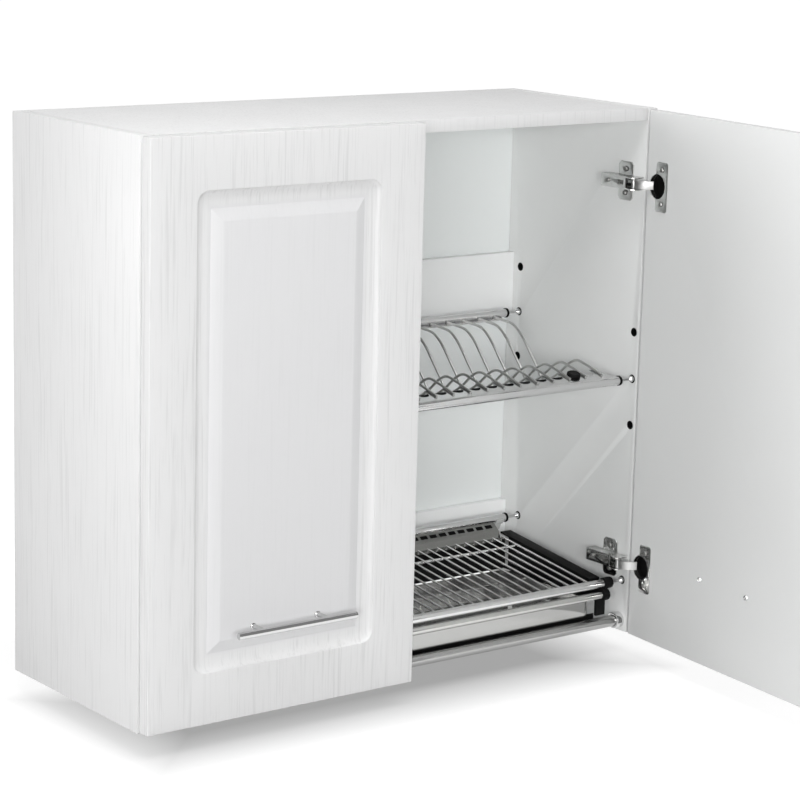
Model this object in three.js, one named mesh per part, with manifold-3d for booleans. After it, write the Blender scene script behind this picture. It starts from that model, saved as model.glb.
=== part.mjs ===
// Dish drying cabinet with two hinged doors, a plate rack and a glass rack over a drip tray.
// Millimetres. +X right, +Y to the wall, +Z up. The origin is the middle of the top panel's rear edge,
// on the wall plane.

import * as THREE from 'three';
import { mergeVertices } from 'three/addons/utils/BufferGeometryUtils.js';
import Module from 'manifold-3d';

const kernel = await Module();
kernel.setup();

// General

const fitGap = 0.3;
const cutOverrun = 4;
const degree = Math.PI / 180;

// Carcass

const width = 800;
const depth = 320;
const height = 720;
const board = 16;
const doorBoard = 18;
const doorStandOff = 2;
const carcassDepth = depth - doorBoard - doorStandOff;
const innerX = width / 2 - board;

const backBoard = 3;
const backRecess = 17;
const backGrooveDepth = 6;
const railBoard = 12;
const upperRailTop = 492;
const upperRailHeight = 90;
const lowerRailTop = 132;
const lowerRailHeight = 100;

const hangerWidth = 42;
const hangerHeight = 58;
const hangerSheet = 2;
const hangerHookWidth = 16;
const hangerHookDrop = 22;
const hangerWallGap = 1.5;

// Tie tube across the open bottom

const tieTubeRadius = 8;
const tieTubeWall = 1.2;
const tieTubeZ = 15;
const tieTubeInset = 16;
const socketRadius = 11;
const socketLength = 12;
const socketFloor = 2;
const socketEdge = 1.5;

// Doors

const doorSideReveal = 2;
const doorMeetingGap = 2;
const doorEndReveal = 1.5;
const doorWidth = width / 2 - doorSideReveal - doorMeetingGap / 2;
const doorHeight = height - 2 * doorEndReveal;
const doorAxisInset = 5.7;
const doorAxisDepth = 13;
const leftDoorOpening = 0;
const rightDoorOpening = 85;

const panelInset = 65;
const panelCornerRadius = 16;
const panelCoveWidth = 14;
const panelDepth = 6.5;
const panelFloorWidth = 8;
const panelBevelWidth = 16;
const panelFieldSink = 1;
const panelRoot = 1;

// Handles

const handleHeight = 114;
const handleBarRadius = 4.5;
const handleBarLength = 176;
const handlePostSpacing = 96;
const handlePostRadius = 3;
const handleStandOff = 28;
const handleEdge = 0.8;

// Hinges: u runs into the cabinet from the side panel's face, v runs forward from its front edge

const hingeInset = 100;
const cupRadius = 17.5;
const cupDepth = 11.5;
const cupWall = 0.8;
const cupFromEdge = 22.5;
const cupBoreClearance = 0.4;
const flangeHeight = 66;
const flangeWidth = 24;
const flangeSheet = 1;
const flangeOffset = 9.5;
const flangeCorner = 4;
const flangeScrewSpacing = 45;
const flangeScrewRadius = 2.2;

const plateSetback = 37;
const plateSheet = 2;
const plateLength = 28;
const plateHeight = 52;
const plateCorner = 4;
const plateRibLength = 44;
const plateRibTop = 8;
const plateScrewSpacing = 32;
const plateScrewRadius = 2.6;

const armFront = 0.3;
const armRear = -68;
const armWidth = 17;
const armSheet = 1.6;
const armTop = 18;
const armNoseTop = 23;
const armNoseLength = 15;
const armNoseSlope = 6;
const armSlotWidth = 6;
const armSlotLength = 12;
const armSlotBack = 24;
const armScrewRadius = 3;
const armScrewBack = 55;

// Links: the pivot in the arm, the direction with the door closed and its change per degree of door

const outerLink = {
  u: 19.47, v: -2.14, length: 26.28, width: 11, sheet: 1.6,
  closed: 151.72, perDoor: -0.332, bow: -5.06, skew: -0.05,
};
const innerLink = {
  u: 14.77, v: -5.27, length: 24.09, width: 7.6, sheet: 1.4,
  closed: 148.24, perDoor: -0.4, bow: -1.7, skew: -0.43,
};
const linkEyeRadius = 2.6;
const linkTipRadius = 1.3;
const linkSteps = 5;
const pivotPinRadius = 1.1;

// Racks: wall pins, tubes and caps

const rackTubeRadius = 6;
const rackTubeWall = 1;
const rackEndRoom = 26;
const rackTubeHalf = innerX - rackEndRoom;
const rackPinRadius = 2;
const rackPinTail = 20;
const rackCollarRadius = 7;
const rackCollarLength = 1.6;
const rackNoseRadius = 4.6;
const rackNoseLength = 8;
const wallHoleRadius = 5;
const wallHoleDepth = 9;
const wallHoleStep = 64;
const capFlange = 4;
const capPlugLength = 6;
const capProud = 0.8;
const webSheet = 1.2;

// Plate rack

const plateFrontSetback = 10;
const plateFront = { y: plateFrontSetback - carcassDepth, z: 354 };
const plateRear = { y: -47, z: 409 };
const webInset = 6;
const webHalf = rackTubeHalf - webInset;
const plateRowInset = 16;
const plateWireCount = 25;
const plateWirePitch = 2 * (webHalf - plateRowInset) / (plateWireCount - 1);
const plateWireRadius = 1.8;
const webRise = 5.2;
const webTaper = 11;
const frontWeb = { slope: 14, length: 28, notchStart: 12, notchWidth: 17, footStart: 8, footEnd: 23 };
const rearWeb = { slope: -3, length: 16, footStart: 3, footEnd: 13 };
const notchCorner = 5;
const wireSink = 0.8;

// Plate wire between the webs: share of the way forward, share of the rise from front tube to rear tube

const plateWireShares = [
  [0.17, 0.87], [0.24, 0.79], [0.3, 0.52], [0.414, -0.04], [0.446, -0.25], [0.482, -0.36], [0.525, -0.29],
  [0.69, 0.24], [0.757, 0.37], [0.833, 0.315],
];

const combSheet = 3;
const combStart = 13;
const combWidth = 9;
const combNotch = 10.5;
const knobStemRadius = 3.8;
const knobHeadRadius = 9.6;
const knobHeadHeight = 4.6;
const knobEdge = 1.6;
const knobShare = 0.5;

// Glass rack

const glassFrontSetback = 13;
const glassFront = { y: glassFrontSetback - carcassDepth, z: 72 };
const glassRear = { y: -60, z: 114 };
const glassInset = 23;
const glassHalf = rackTubeHalf - glassInset;
const glassRowInset = 5;
const glassWireCount = 41;
const glassWirePitch = 2 * (glassHalf - glassRowInset) / (glassWireCount - 1);
const glassWireRadius = 1.5;
const glassWire = { lowRearZ: 91.6, rearY: -90, rearZ: 96, bend: 3.2, frontZ: 74, endZ: 72.4 };
const crossBarRadius = 2;
const crossBarInset = 8;
const crossBarY = -122;
const glassFold = { y: -77, z: 101.5 };
const glassFoot = { y: -81, z: 92 };
const glassLip = { y: -92.5, z: 91 };
const glassSlotLow = 104.8;
const glassSlotHigh = 108.4;
const glassSlotWidth = 12;

// Side frames: the insets run in from the ends of the rack tubes, the setbacks back from the sides' fronts

const frameInnerInset = 20;
const frameOuterInset = 2;
const frameLedgeInset = 14;
const frameSheet = 2.5;
const frameBottom = 46;
const frameRearDepth = 78;
const frameSetback = 28;
const frameRib = 2;
const frameRibZ = 60;
const collarRadius = 7.8;
const collarInset = 9;
const beadCollarInset = 13;
const beadCollarSheet = 2.4;
const tabInnerInset = 25;
const tabWidth = 16;
const tabTop = 52;
const tabBottom = 30;
const tabSheet = 4;

const clipInset = 18;
const clipLength = 12;
const clipRadius = 8.2;
const clipLegDepth = 7;
const clipLegSheet = 2.2;
const clipTaper = 3.5;

// Drip tray

const trayInset = 28;
const trayHalf = rackTubeHalf - trayInset;
const traySetback = 14;
const trayFront = traySetback - carcassDepth;
const trayRear = -98;
const trayBottom = 27.5;
const traySheet = 1;
const trayCorner = 12;
const trayRimTop = 49.8;
const trayRimInset = 7;
const trayRimSetback = 32;
const trayRimFront = trayRimSetback - carcassDepth;
const beadRadius = 5.5;
const beadSetback = 10.5;
const beadY = beadSetback - carcassDepth;
const beadZ = 57;
const beadInset = 6;
const beadHalf = rackTubeHalf - beadInset;
const trayFrontTop = 55.5;

// Roundness of faceted pieces

const cupSides = 16;
const tubeSides = 12;
const pinSides = 8;
const plateWireSides = 4;
const glassWireSides = 4;
const cornerSides = 4;
const notchSides = 1;

// Materials

const finish = (color, roughness, metalness) => (
  new THREE.MeshStandardMaterial({ color, roughness, metalness })
);
const whiteBoard = finish(0xe9eaea, 0.45, 0);
const innerBoard = finish(0xdfe1e0, 0.5, 0);
const chrome = finish(0xd6d8d8, 0.15, 1);
const stainless = finish(0xb9bbb8, 0.3, 1);
const nickel = finish(0xa9a9a6, 0.28, 1);
const zinc = finish(0x9fa3a6, 0.45, 0.9);
const blackPlastic = finish(0x121212, 0.4, 0);
const greyPlastic = finish(0xc9c9c4, 0.45, 0);

// Turns a closed geometry into a solid, with its faces pointing out.
function solid(geometry) {
  const bare = geometry.index ? geometry.toNonIndexed() : geometry.clone();
  bare.deleteAttribute('normal');
  bare.deleteAttribute('uv');
  const merged = mergeVertices(bare, 1e-4);
  const points = merged.attributes.position;
  const index = Array.from(merged.index.array);
  let volume = 0;
  const [a, b, c] = [new THREE.Vector3(), new THREE.Vector3(), new THREE.Vector3()];
  for (let i = 0; i < index.length; i += 3) {
    a.fromBufferAttribute(points, index[i]);
    b.fromBufferAttribute(points, index[i + 1]);
    c.fromBufferAttribute(points, index[i + 2]);
    volume += a.dot(b.cross(c));
  }
  if (volume < 0) index.reverse();
  return new kernel.Manifold(new kernel.Mesh({
    numProp: 3,
    vertProperties: new Float32Array(points.array),
    triVerts: new Uint32Array(index),
  }));
}

// Turns a solid back into a geometry.
function surface(body) {
  const mesh = body.getMesh();
  const geometry = new THREE.BufferGeometry();
  geometry.setAttribute('position', new THREE.BufferAttribute(new Float32Array(mesh.vertProperties), 3));
  geometry.setIndex(new THREE.BufferAttribute(new Uint32Array(mesh.triVerts), 1));
  return geometry;
}

const join = (first, ...others) => others.reduce((sum, other) => sum.add(other), first);
const cut = (first, ...others) => others.reduce((rest, other) => rest.subtract(other), first);

// The same solid seen in a mirror that faces along X.
function mirrored(body) {
  return solid(surface(body).scale(-1, 1, 1));
}

// Box between two corners, given as [x, y, z].
function box(low, high) {
  const size = high.map((value, i) => value - low[i]);
  const geometry = new THREE.BoxGeometry(...size);
  geometry.translate(...low.map((value, i) => value + size[i] / 2));
  return solid(geometry);
}

// Outline in (y, z), drawn out along X from start to end.
function alongX(shape, start, end, sides = tubeSides) {
  const geometry = new THREE.ExtrudeGeometry(shape, {
    depth: end - start, bevelEnabled: false, curveSegments: sides / 2,
  });
  const basis = new THREE.Matrix4().set(0, 0, 1, start, 1, 0, 0, 0, 0, 1, 0, 0, 0, 0, 0, 1);
  return solid(geometry.applyMatrix4(basis));
}

// Outline in (x, z), drawn out along Y from rear to front.
function alongY(shape, front, rear, sides = pinSides) {
  const geometry = new THREE.ExtrudeGeometry(shape, {
    depth: rear - front, bevelEnabled: false, curveSegments: sides / 2,
  });
  const basis = new THREE.Matrix4().set(1, 0, 0, 0, 0, 0, -1, rear, 0, 1, 0, 0, 0, 0, 0, 1);
  return solid(geometry.applyMatrix4(basis));
}

// Outline in (x, y), drawn up along Z from low to high.
function alongZ(shape, low, high, sides = tubeSides) {
  const geometry = new THREE.ExtrudeGeometry(shape, {
    depth: high - low, bevelEnabled: false, curveSegments: sides / 2,
  });
  return solid(geometry.translate(0, 0, low));
}

// Turned piece: pairs of radius and distance along the axis, closed on the axis or on themselves.
function turned(profile, sides) {
  const closed = profile[0][0] > 0 ? [...profile, profile[0]] : profile;
  return solid(new THREE.LatheGeometry(closed.map(([r, d]) => new THREE.Vector2(r, d)), sides));
}

// Turned piece whose axis runs along +X from the given point.
function turnedX(profile, sides, [x, y, z]) {
  const geometry = surface(turned(profile, sides)).rotateZ(-Math.PI / 2);
  return solid(geometry.translate(x, y, z));
}

function roundRod(radius, start, end, y, z, sides = tubeSides) {
  return turnedX([[0, 0], [radius, 0], [radius, end - start], [0, end - start]], sides, [start, y, z]);
}

function ringShape(outer, inner, y, z) {
  const shape = new THREE.Shape().absarc(y, z, outer, 0, 2 * Math.PI, false);
  shape.holes.push(new THREE.Path().absarc(y, z, inner, 0, 2 * Math.PI, true));
  return shape;
}

function circle(radius, a, b) {
  return new THREE.Shape().absarc(a, b, radius, 0, 2 * Math.PI, false);
}

function polygon(points) {
  return new THREE.Shape(points.map(([a, b]) => new THREE.Vector2(a, b)));
}

function roundedRectangle(left, bottom, right, top, radius) {
  const shape = new THREE.Shape();
  shape.moveTo(left + radius, bottom);
  shape.lineTo(right - radius, bottom);
  shape.absarc(right - radius, bottom + radius, radius, -Math.PI / 2, 0, false);
  shape.lineTo(right, top - radius);
  shape.absarc(right - radius, top - radius, radius, 0, Math.PI / 2, false);
  shape.lineTo(left + radius, top);
  shape.absarc(left + radius, top - radius, radius, Math.PI / 2, Math.PI, false);
  shape.lineTo(left, bottom + radius);
  shape.absarc(left + radius, bottom + radius, radius, Math.PI, 1.5 * Math.PI, false);
  return shape;
}

// Sheet of even thickness that follows a folded line.
function foldedSheet(points, thickness) {
  const line = points.map(([a, b]) => new THREE.Vector2(a, b));
  const normals = line.slice(1).map((point, i) => {
    const step = point.clone().sub(line[i]).normalize();
    return new THREE.Vector2(-step.y, step.x);
  });
  const offset = (side) => line.map((point, i) => {
    const before = normals[Math.max(i - 1, 0)];
    const after = normals[Math.min(i, normals.length - 1)];
    const mitre = before.clone().add(after);
    const length = thickness / (mitre.dot(after));
    return point.clone().add(mitre.multiplyScalar(side * length));
  });
  return new THREE.Shape([...offset(0.5), ...offset(-0.5).reverse()]);
}

// Round wire through points, with one ring at each point.
function wire(points, radius, sides) {
  const path = new THREE.CatmullRomCurve3(points.map((point) => new THREE.Vector3(...point)));
  path.getUtoTmapping = (share) => share;
  const section = new THREE.Shape().absarc(0, 0, radius, 0, 2 * Math.PI, false);
  const outline = new THREE.Shape(section.getSpacedPoints(sides).slice(0, sides));
  return solid(new THREE.ExtrudeGeometry(outline, { steps: points.length - 1, extrudePath: path }));
}

const cabinet = new THREE.Group();
cabinet.name = 'dish_drying_cabinet';
const carcass = new THREE.Group();
carcass.position.set(0, 0, -(height - board / 2));
cabinet.add(carcass);

function addPart(parent, name, body, material) {
  const mesh = new THREE.Mesh(surface(body), material);
  mesh.name = name;
  parent.add(mesh);
  return mesh;
}

// Adds a right-hand piece and its mirror image on the left.
function addPair(parent, name, body, material) {
  addPart(parent, `${name}_right`, body, material);
  addPart(parent, `${name}_left`, mirrored(body), material);
}

// Side panel with the back's groove and the blind holes for the wall pins.
function sidePanel() {
  const panel = box([innerX, -carcassDepth, 0], [width / 2, 0, height]);
  const groove = box(
    [innerX - cutOverrun, -(backRecess + backBoard + fitGap), -cutOverrun],
    [innerX + backGrooveDepth, -(backRecess - fitGap), height + cutOverrun],
  );
  const spots = [glassFront, glassRear];
  for (const step of [-1, 0, 1]) {
    spots.push({ y: plateFront.y, z: plateFront.z + step * wallHoleStep });
    spots.push({ y: plateRear.y, z: plateRear.z + step * wallHoleStep });
  }
  const holes = spots.map(({ y, z }) => roundRod(
    wallHoleRadius, innerX - cutOverrun, innerX + wallHoleDepth, y, z, pinSides,
  ));
  return cut(panel, groove, ...holes);
}

// Board that spans the sides.
function crossBoard(rear, front, bottom, top) {
  return box([-(innerX - fitGap), front, bottom], [innerX - fitGap, rear, top]);
}

function backPanel() {
  const half = innerX + backGrooveDepth - fitGap;
  const bottom = lowerRailTop - lowerRailHeight;
  return box([-half, -(backRecess + backBoard), bottom], [half, -backRecess, height - board - fitGap]);
}

// Hanging bracket behind the back panel: a box case fixed to the side, with a hook that rises at the wall.
function hanger() {
  const right = innerX - fitGap;
  const left = right - hangerWidth;
  const top = height - board - fitGap;
  const bottom = top - hangerHeight;
  const front = -(backRecess - fitGap);
  const shell = box([left, front, bottom], [right, front + hangerSheet * 4, top]);
  const hollow = box(
    [left + hangerSheet, front + hangerSheet, bottom - cutOverrun],
    [right - hangerSheet, front + hangerSheet * 3, top - hangerSheet],
  );
  const hookLeft = (left + right - hangerHookWidth) / 2;
  const profile = polygon([
    [front + hangerSheet * 4, top - hangerHookDrop],
    [-hangerWallGap, top - hangerHookDrop],
    [-hangerWallGap, top - hangerSheet],
    [-hangerWallGap - hangerSheet, top - hangerSheet],
    [-hangerWallGap - hangerSheet, top - hangerHookDrop + hangerSheet],
    [front + hangerSheet * 4, top - hangerHookDrop + hangerSheet],
    [front + hangerSheet * 3.5, top - hangerHookDrop + hangerSheet],
    [front + hangerSheet * 3.5, top - hangerHookDrop],
  ]);
  return join(cut(shell, hollow), alongX(profile, hookLeft, hookLeft + hangerHookWidth));
}

// Tie tube and the round sockets that hold it between the sides.
function tieTube() {
  const half = innerX - fitGap - socketFloor - fitGap;
  const y = -(carcassDepth - tieTubeInset);
  return alongX(ringShape(tieTubeRadius, tieTubeRadius - tieTubeWall, y, tieTubeZ), -half, half);
}

function tieSocket() {
  const bore = tieTubeRadius + fitGap;
  const mouth = innerX - fitGap - socketLength;
  return turnedX([
    [0, socketLength], [socketRadius, socketLength], [socketRadius, socketEdge],
    [socketRadius - socketEdge, 0], [bore, 0], [bore, socketLength - socketFloor],
    [0, socketLength - socketFloor],
  ], cupSides, [mouth, -(carcassDepth - tieTubeInset), tieTubeZ]);
}

addPair(carcass, 'side_panel', sidePanel(), whiteBoard);
addPart(carcass, 'top_panel', crossBoard(0, -carcassDepth, height - board, height), whiteBoard);
addPart(carcass, 'back_panel', backPanel(), innerBoard);
const railRear = -(backRecess + backBoard + fitGap);
const railFront = railRear - railBoard;
const upperRail = crossBoard(railRear, railFront, upperRailTop - upperRailHeight, upperRailTop);
const lowerRail = crossBoard(railRear, railFront, lowerRailTop - lowerRailHeight, lowerRailTop);
addPart(carcass, 'upper_back_rail', upperRail, innerBoard);
addPart(carcass, 'lower_back_rail', lowerRail, innerBoard);
addPair(carcass, 'hanging_bracket', hanger(), zinc);
addPart(carcass, 'tie_tube', tieTube(), chrome);
addPair(carcass, 'tie_tube_socket', tieSocket(), chrome);

// Doors. Each door is drawn closed about its turning axis, as the right-hand one.

const doorEdge = doorAxisInset;
const doorFree = doorEdge - doorWidth;
const doorInner = doorAxisDepth;
const doorOuter = doorInner - doorBoard;
const hingeHeights = { lower: hingeInset, upper: height - hingeInset };

// Raised panel: a pocket with a coved edge, and a bevelled field that stands in it.
function panelPocket() {
  const inset = panelInset + panelCoveWidth;
  const outline = roundedRectangle(doorFree + inset, doorEndReveal + inset, doorEdge - inset,
    doorEndReveal + doorHeight - inset, panelCornerRadius - panelCoveWidth);
  const geometry = new THREE.ExtrudeGeometry(outline, {
    depth: cutOverrun, bevelEnabled: true, bevelThickness: panelDepth, bevelSize: panelCoveWidth,
    bevelSegments: 3, curveSegments: 3,
  });
  const floor = doorOuter + panelDepth;
  geometry.translate(0, 0, panelDepth);
  geometry.applyMatrix4(new THREE.Matrix4().set(1, 0, 0, 0, 0, 0, -1, floor, 0, 1, 0, 0, 0, 0, 0, 1));
  const slab = box([doorFree, doorOuter - cutOverrun, 0], [doorEdge, floor, height]);
  return solid(geometry).intersect(slab);
}

function panelField() {
  const base = panelInset + panelCoveWidth + panelFloorWidth;
  const top = base + panelBevelWidth;
  const low = doorOuter + panelDepth + panelRoot;
  const high = doorOuter + panelFieldSink;
  const doorTop = doorEndReveal + doorHeight;
  const corners = (inset, y) => [
    [doorFree + inset, y, doorEndReveal + inset], [doorEdge - inset, y, doorEndReveal + inset],
    [doorEdge - inset, y, doorTop - inset], [doorFree + inset, y, doorTop - inset],
  ];
  const slope = panelBevelWidth / (panelDepth - panelFieldSink);
  const points = [...corners(base - slope * panelRoot, low), ...corners(top, high)].flat();
  const faces = [0, 1, 2, 0, 2, 3, 4, 6, 5, 4, 7, 6];
  for (let i = 0; i < 4; i += 1) {
    const next = (i + 1) % 4;
    faces.push(i, i + 4, next, next, i + 4, next + 4);
  }
  const geometry = new THREE.BufferGeometry();
  geometry.setAttribute('position', new THREE.Float32BufferAttribute(points, 3));
  geometry.setIndex(faces);
  return solid(geometry);
}

function door() {
  const slab = box([doorFree, doorOuter, doorEndReveal], [doorEdge, doorInner, doorEndReveal + doorHeight]);
  const boreRadius = cupRadius + cupBoreClearance;
  const boreFloor = doorInner - cupDepth - cupBoreClearance;
  const boreMouth = doorInner + cutOverrun;
  const cupBores = Object.values(hingeHeights).map((z) => {
    const bore = turned(
      [[0, boreFloor], [boreRadius, boreFloor], [boreRadius, boreMouth], [0, boreMouth]], cupSides,
    );
    return solid(surface(bore).translate(doorEdge - cupFromEdge, 0, z));
  });
  return cut(join(cut(slab, panelPocket()), panelField()), ...cupBores);
}

// Bar handle with two posts, standing on the door's front.
function handle() {
  const middle = (doorEdge + doorFree) / 2;
  const barY = doorOuter - handleStandOff;
  const z = doorEndReveal + handleHeight;
  const half = handleBarLength / 2;
  const r = handleBarRadius;
  const bar = turnedX([
    [0, 0], [r - handleEdge, 0], [r, handleEdge], [r, 2 * half - handleEdge],
    [r - handleEdge, 2 * half], [0, 2 * half],
  ], tubeSides, [middle - half, barY, z]);
  const foot = doorOuter + panelFieldSink - fitGap;
  const posts = [-1, 1].map((side) => {
    const post = turned(
      [[0, barY], [handlePostRadius, barY], [handlePostRadius, foot], [0, foot]], pinSides,
    );
    return solid(surface(post).translate(middle + side * handlePostSpacing / 2, 0, z));
  });
  return join(bar, ...posts);
}

// Hinge cup with its flange plate; its mouth opens towards +Y.
function hingeCup() {
  const inner = cupRadius - cupWall;
  const middle = (inner + cupRadius) / 2;
  const pot = turned([
    [0, -cupDepth], [cupRadius, -cupDepth], [cupRadius, 0], [inner, 0], [inner, cupWall - cupDepth],
    [0, cupWall - cupDepth],
  ], cupSides);
  const collar = turned([
    [inner, -cupWall], [cupRadius, -cupWall], [cupRadius, flangeSheet], [inner, flangeSheet],
  ], cupSides);
  const left = -flangeOffset - flangeWidth / 2;
  const outline = roundedRectangle(
    left, -flangeHeight / 2, left + flangeWidth, flangeHeight / 2, flangeCorner,
  );
  const mouth = turned(
    [[0, -cutOverrun], [middle, -cutOverrun], [middle, cutOverrun], [0, cutOverrun]], cupSides,
  );
  const screws = [-1, 1].map((side) => alongY(
    circle(flangeScrewRadius, -flangeOffset, side * flangeScrewSpacing / 2), -cutOverrun, cutOverrun,
  ));
  const plate = cut(alongY(outline, fitGap, flangeSheet, cornerSides), mouth, ...screws);
  return join(plate, collar.intersect(alongY(outline, -cutOverrun, cutOverrun, cornerSides)), pot);
}

// Mounting plate on the side panel: two wings with screw holes and a raised rib for the arm.
// Its frame is the hinge's: +X to the side panel's face, +Y to the wall, the panel's front edge at zero.
function mountingPlate() {
  const foot = -(plateSheet + fitGap);
  const wings = box(
    [foot, -plateLength / 2, -plateHeight / 2], [-fitGap, plateLength / 2, plateHeight / 2],
  );
  const neck = box([-plateRibTop, -plateRibLength / 2, -ribHalf], [-fitGap, plateRibLength / 2, ribHalf]);
  const holes = [-1, 1].map((side) => roundRod(
    plateScrewRadius, foot - cutOverrun, cutOverrun, 0, side * plateScrewSpacing / 2, pinSides,
  ));
  const corners = alongX(
    roundedRectangle(-plateLength / 2, -plateHeight / 2, plateLength / 2, plateHeight / 2, plateCorner),
    foot - cutOverrun, cutOverrun, notchSides,
  );
  return solid(surface(join(cut(wings.intersect(corners), ...holes), neck)).translate(0, plateSetback, 0));
}

// Hinge arm: a channel over the plate's rib, with two cheeks that hold the links at its nose.
function hingeArm() {
  const half = armWidth / 2;
  const inner = half - armSheet;
  const foot = -(plateSheet + 2 * fitGap);
  const front = -armFront;
  const noseRear = front + armNoseLength;
  const profile = polygon([
    [foot, front], [foot, -armRear], [-armTop, -armRear], [-armTop, noseRear + armNoseSlope],
    [-armNoseTop, noseRear - armNoseSlope], [-armNoseTop, front + armNoseSlope / 2],
    [-armNoseTop + armNoseSlope / 2, front],
  ]);
  const block = alongZ(profile, -half, half);
  const channel = box([armSheet - armTop, -cutOverrun, -inner], [cutOverrun, cutOverrun - armRear, inner]);
  const nose = box(
    [-armNoseTop - cutOverrun, -cutOverrun, -inner], [cutOverrun, noseRear + armNoseSlope, inner],
  );
  const slot = box(
    [-armTop - cutOverrun, armSlotBack, -armSlotWidth / 2],
    [armSheet * 2 - armTop, armSlotBack + armSlotLength, armSlotWidth / 2],
  );
  const screw = roundRod(
    armScrewRadius, -armTop - cutOverrun, armSheet * 2 - armTop, armScrewBack, 0, pinSides,
  );
  const bores = [outerLink, innerLink].map(({ u, v }) => alongZ(
    circle(pivotPinRadius + fitGap, -u, -v), -half - cutOverrun, half + cutOverrun, pinSides,
  ));
  return cut(block, channel, nose, slot, screw, ...bores);
}

// Hinge link with its pivot pin: the eye is at the origin, the strap runs along +X and is bowed sideways.
function hingeLink({ length, width: linkWidth, sheet, bow, skew }) {
  const line = [];
  for (let i = 0; i <= linkSteps; i += 1) {
    const share = i / linkSteps;
    line.push([share * length, 4 * bow * share * (1 - share) * (1 + skew * (2 * share - 1))]);
  }
  const half = linkWidth / 2;
  const pinHalf = armWidth / 2;
  return join(
    alongZ(foldedSheet(line, sheet), -half, half),
    alongZ(circle(linkEyeRadius, 0, 0), -half, half, pinSides),
    alongZ(circle(linkTipRadius, length, 0), -half, half, pinSides),
    alongZ(circle(pivotPinRadius, 0, 0), -pinHalf, pinHalf, pinSides),
  );
}

const ribHalf = armWidth / 2 - armSheet - fitGap;
const doorShapes = { door: door(), handle: handle(), hinge_cup: hingeCup() };
const hingeShapes = {
  plate: mountingPlate(),
  arm: hingeArm(),
  outer: hingeLink(outerLink),
  inner: hingeLink(innerLink),
};

// Places one link on its pivot, turned for the door's opening.
function addLink(parent, name, body, link, opening, side) {
  const mesh = addPart(parent, name, side > 0 ? body : mirrored(body), nickel);
  mesh.position.set(-side * link.u, -link.v, 0);
  mesh.rotation.z = side * ((link.closed + link.perDoor * opening) * degree + Math.PI);
}

// Adds the fixed half and the links of one hinge on the side panel.
function addHinge(place, z, side, opening) {
  const label = `${place}_${side > 0 ? 'right' : 'left'}`;
  const hinge = new THREE.Group();
  hinge.position.set(side * innerX, -carcassDepth, z);
  carcass.add(hinge);
  const turn = (body) => (side > 0 ? body : mirrored(body));
  addPart(hinge, `hinge_plate_${label}`, turn(hingeShapes.plate), nickel);
  addPart(hinge, `hinge_arm_${label}`, turn(hingeShapes.arm), nickel);
  addLink(hinge, `hinge_outer_link_${label}`, hingeShapes.outer, outerLink, opening, side);
  addLink(hinge, `hinge_inner_link_${label}`, hingeShapes.inner, innerLink, opening, side);
}

// Adds one door with its handle and hinge cups, turned about its axis.
function addDoor(side, opening) {
  const label = side > 0 ? 'right' : 'left';
  const hung = new THREE.Group();
  const axisX = width / 2 - doorSideReveal - doorAxisInset;
  hung.position.set(side * axisX, -(carcassDepth + doorStandOff + doorAxisDepth), 0);
  hung.rotation.z = side * opening * degree;
  carcass.add(hung);
  const turn = (body) => (side > 0 ? body : mirrored(body));
  addPart(hung, `door_${label}`, turn(doorShapes.door), whiteBoard);
  addPart(hung, `handle_${label}`, turn(doorShapes.handle), chrome);
  for (const [place, z] of Object.entries(hingeHeights)) {
    const cup = addPart(hung, `hinge_cup_${place}_${label}`, turn(doorShapes.hinge_cup), nickel);
    cup.position.set(side * (doorEdge - cupFromEdge), doorInner, z);
    addHinge(place, z, side, opening);
  }
}

addDoor(1, rightDoorOpening);
addDoor(-1, leftDoorOpening);

// Racks

const capFace = rackTubeHalf + fitGap + capFlange;
const wireLift = webSheet / 2 + plateWireRadius - wireSink;

// Tube between the caps, round its centre line.
function rackTube({ y, z }) {
  const ring = ringShape(rackTubeRadius, rackTubeRadius - rackTubeWall, y, z);
  return alongX(ring, -rackTubeHalf, rackTubeHalf);
}

// Solid round bar that fills the same outline as a rack tube.
function rackCore({ y, z }) {
  const half = rackTubeHalf + cutOverrun;
  return roundRod(rackTubeRadius - rackTubeWall, -half, half, y, z);
}

// End cap with its plug, and the wall pin that slides in it.
function tubeCap({ y, z }) {
  const plug = rackTubeRadius - rackTubeWall - fitGap;
  const bore = rackPinRadius + fitGap;
  const flange = rackTubeRadius + capProud;
  const reach = capPlugLength + fitGap;
  return turnedX([
    [bore, 0], [plug, 0], [plug, reach], [flange, reach], [flange, reach + capFlange / 2],
    [flange - capProud * 2, reach + capFlange], [bore, reach + capFlange],
  ], tubeSides, [rackTubeHalf - capPlugLength, y, z]);
}

function wallPin({ y, z }) {
  const start = capFace - rackPinTail;
  const wall = innerX - fitGap - start;
  return turnedX([
    [0, 0], [rackPinRadius, 0], [rackPinRadius, wall - rackCollarLength],
    [rackCollarRadius, wall - rackCollarLength], [rackCollarRadius, wall], [rackNoseRadius, wall],
    [rackNoseRadius, wall + rackNoseLength], [0, wall + rackNoseLength],
  ], pinSides, [start, y, z]);
}

// Point on a web: distance along it from the tube, and height over it. The front web runs back.
function webPoint(tube, web, along, over) {
  const run = tube === plateFront ? 1 : -1;
  const tilt = web.slope * degree;
  return [
    tube.y + run * (Math.cos(tilt) * along - Math.sin(tilt) * over),
    tube.z + webRise * (tube === plateFront ? 1 : -1) + Math.sin(tilt) * along + Math.cos(tilt) * over,
  ];
}

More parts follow.
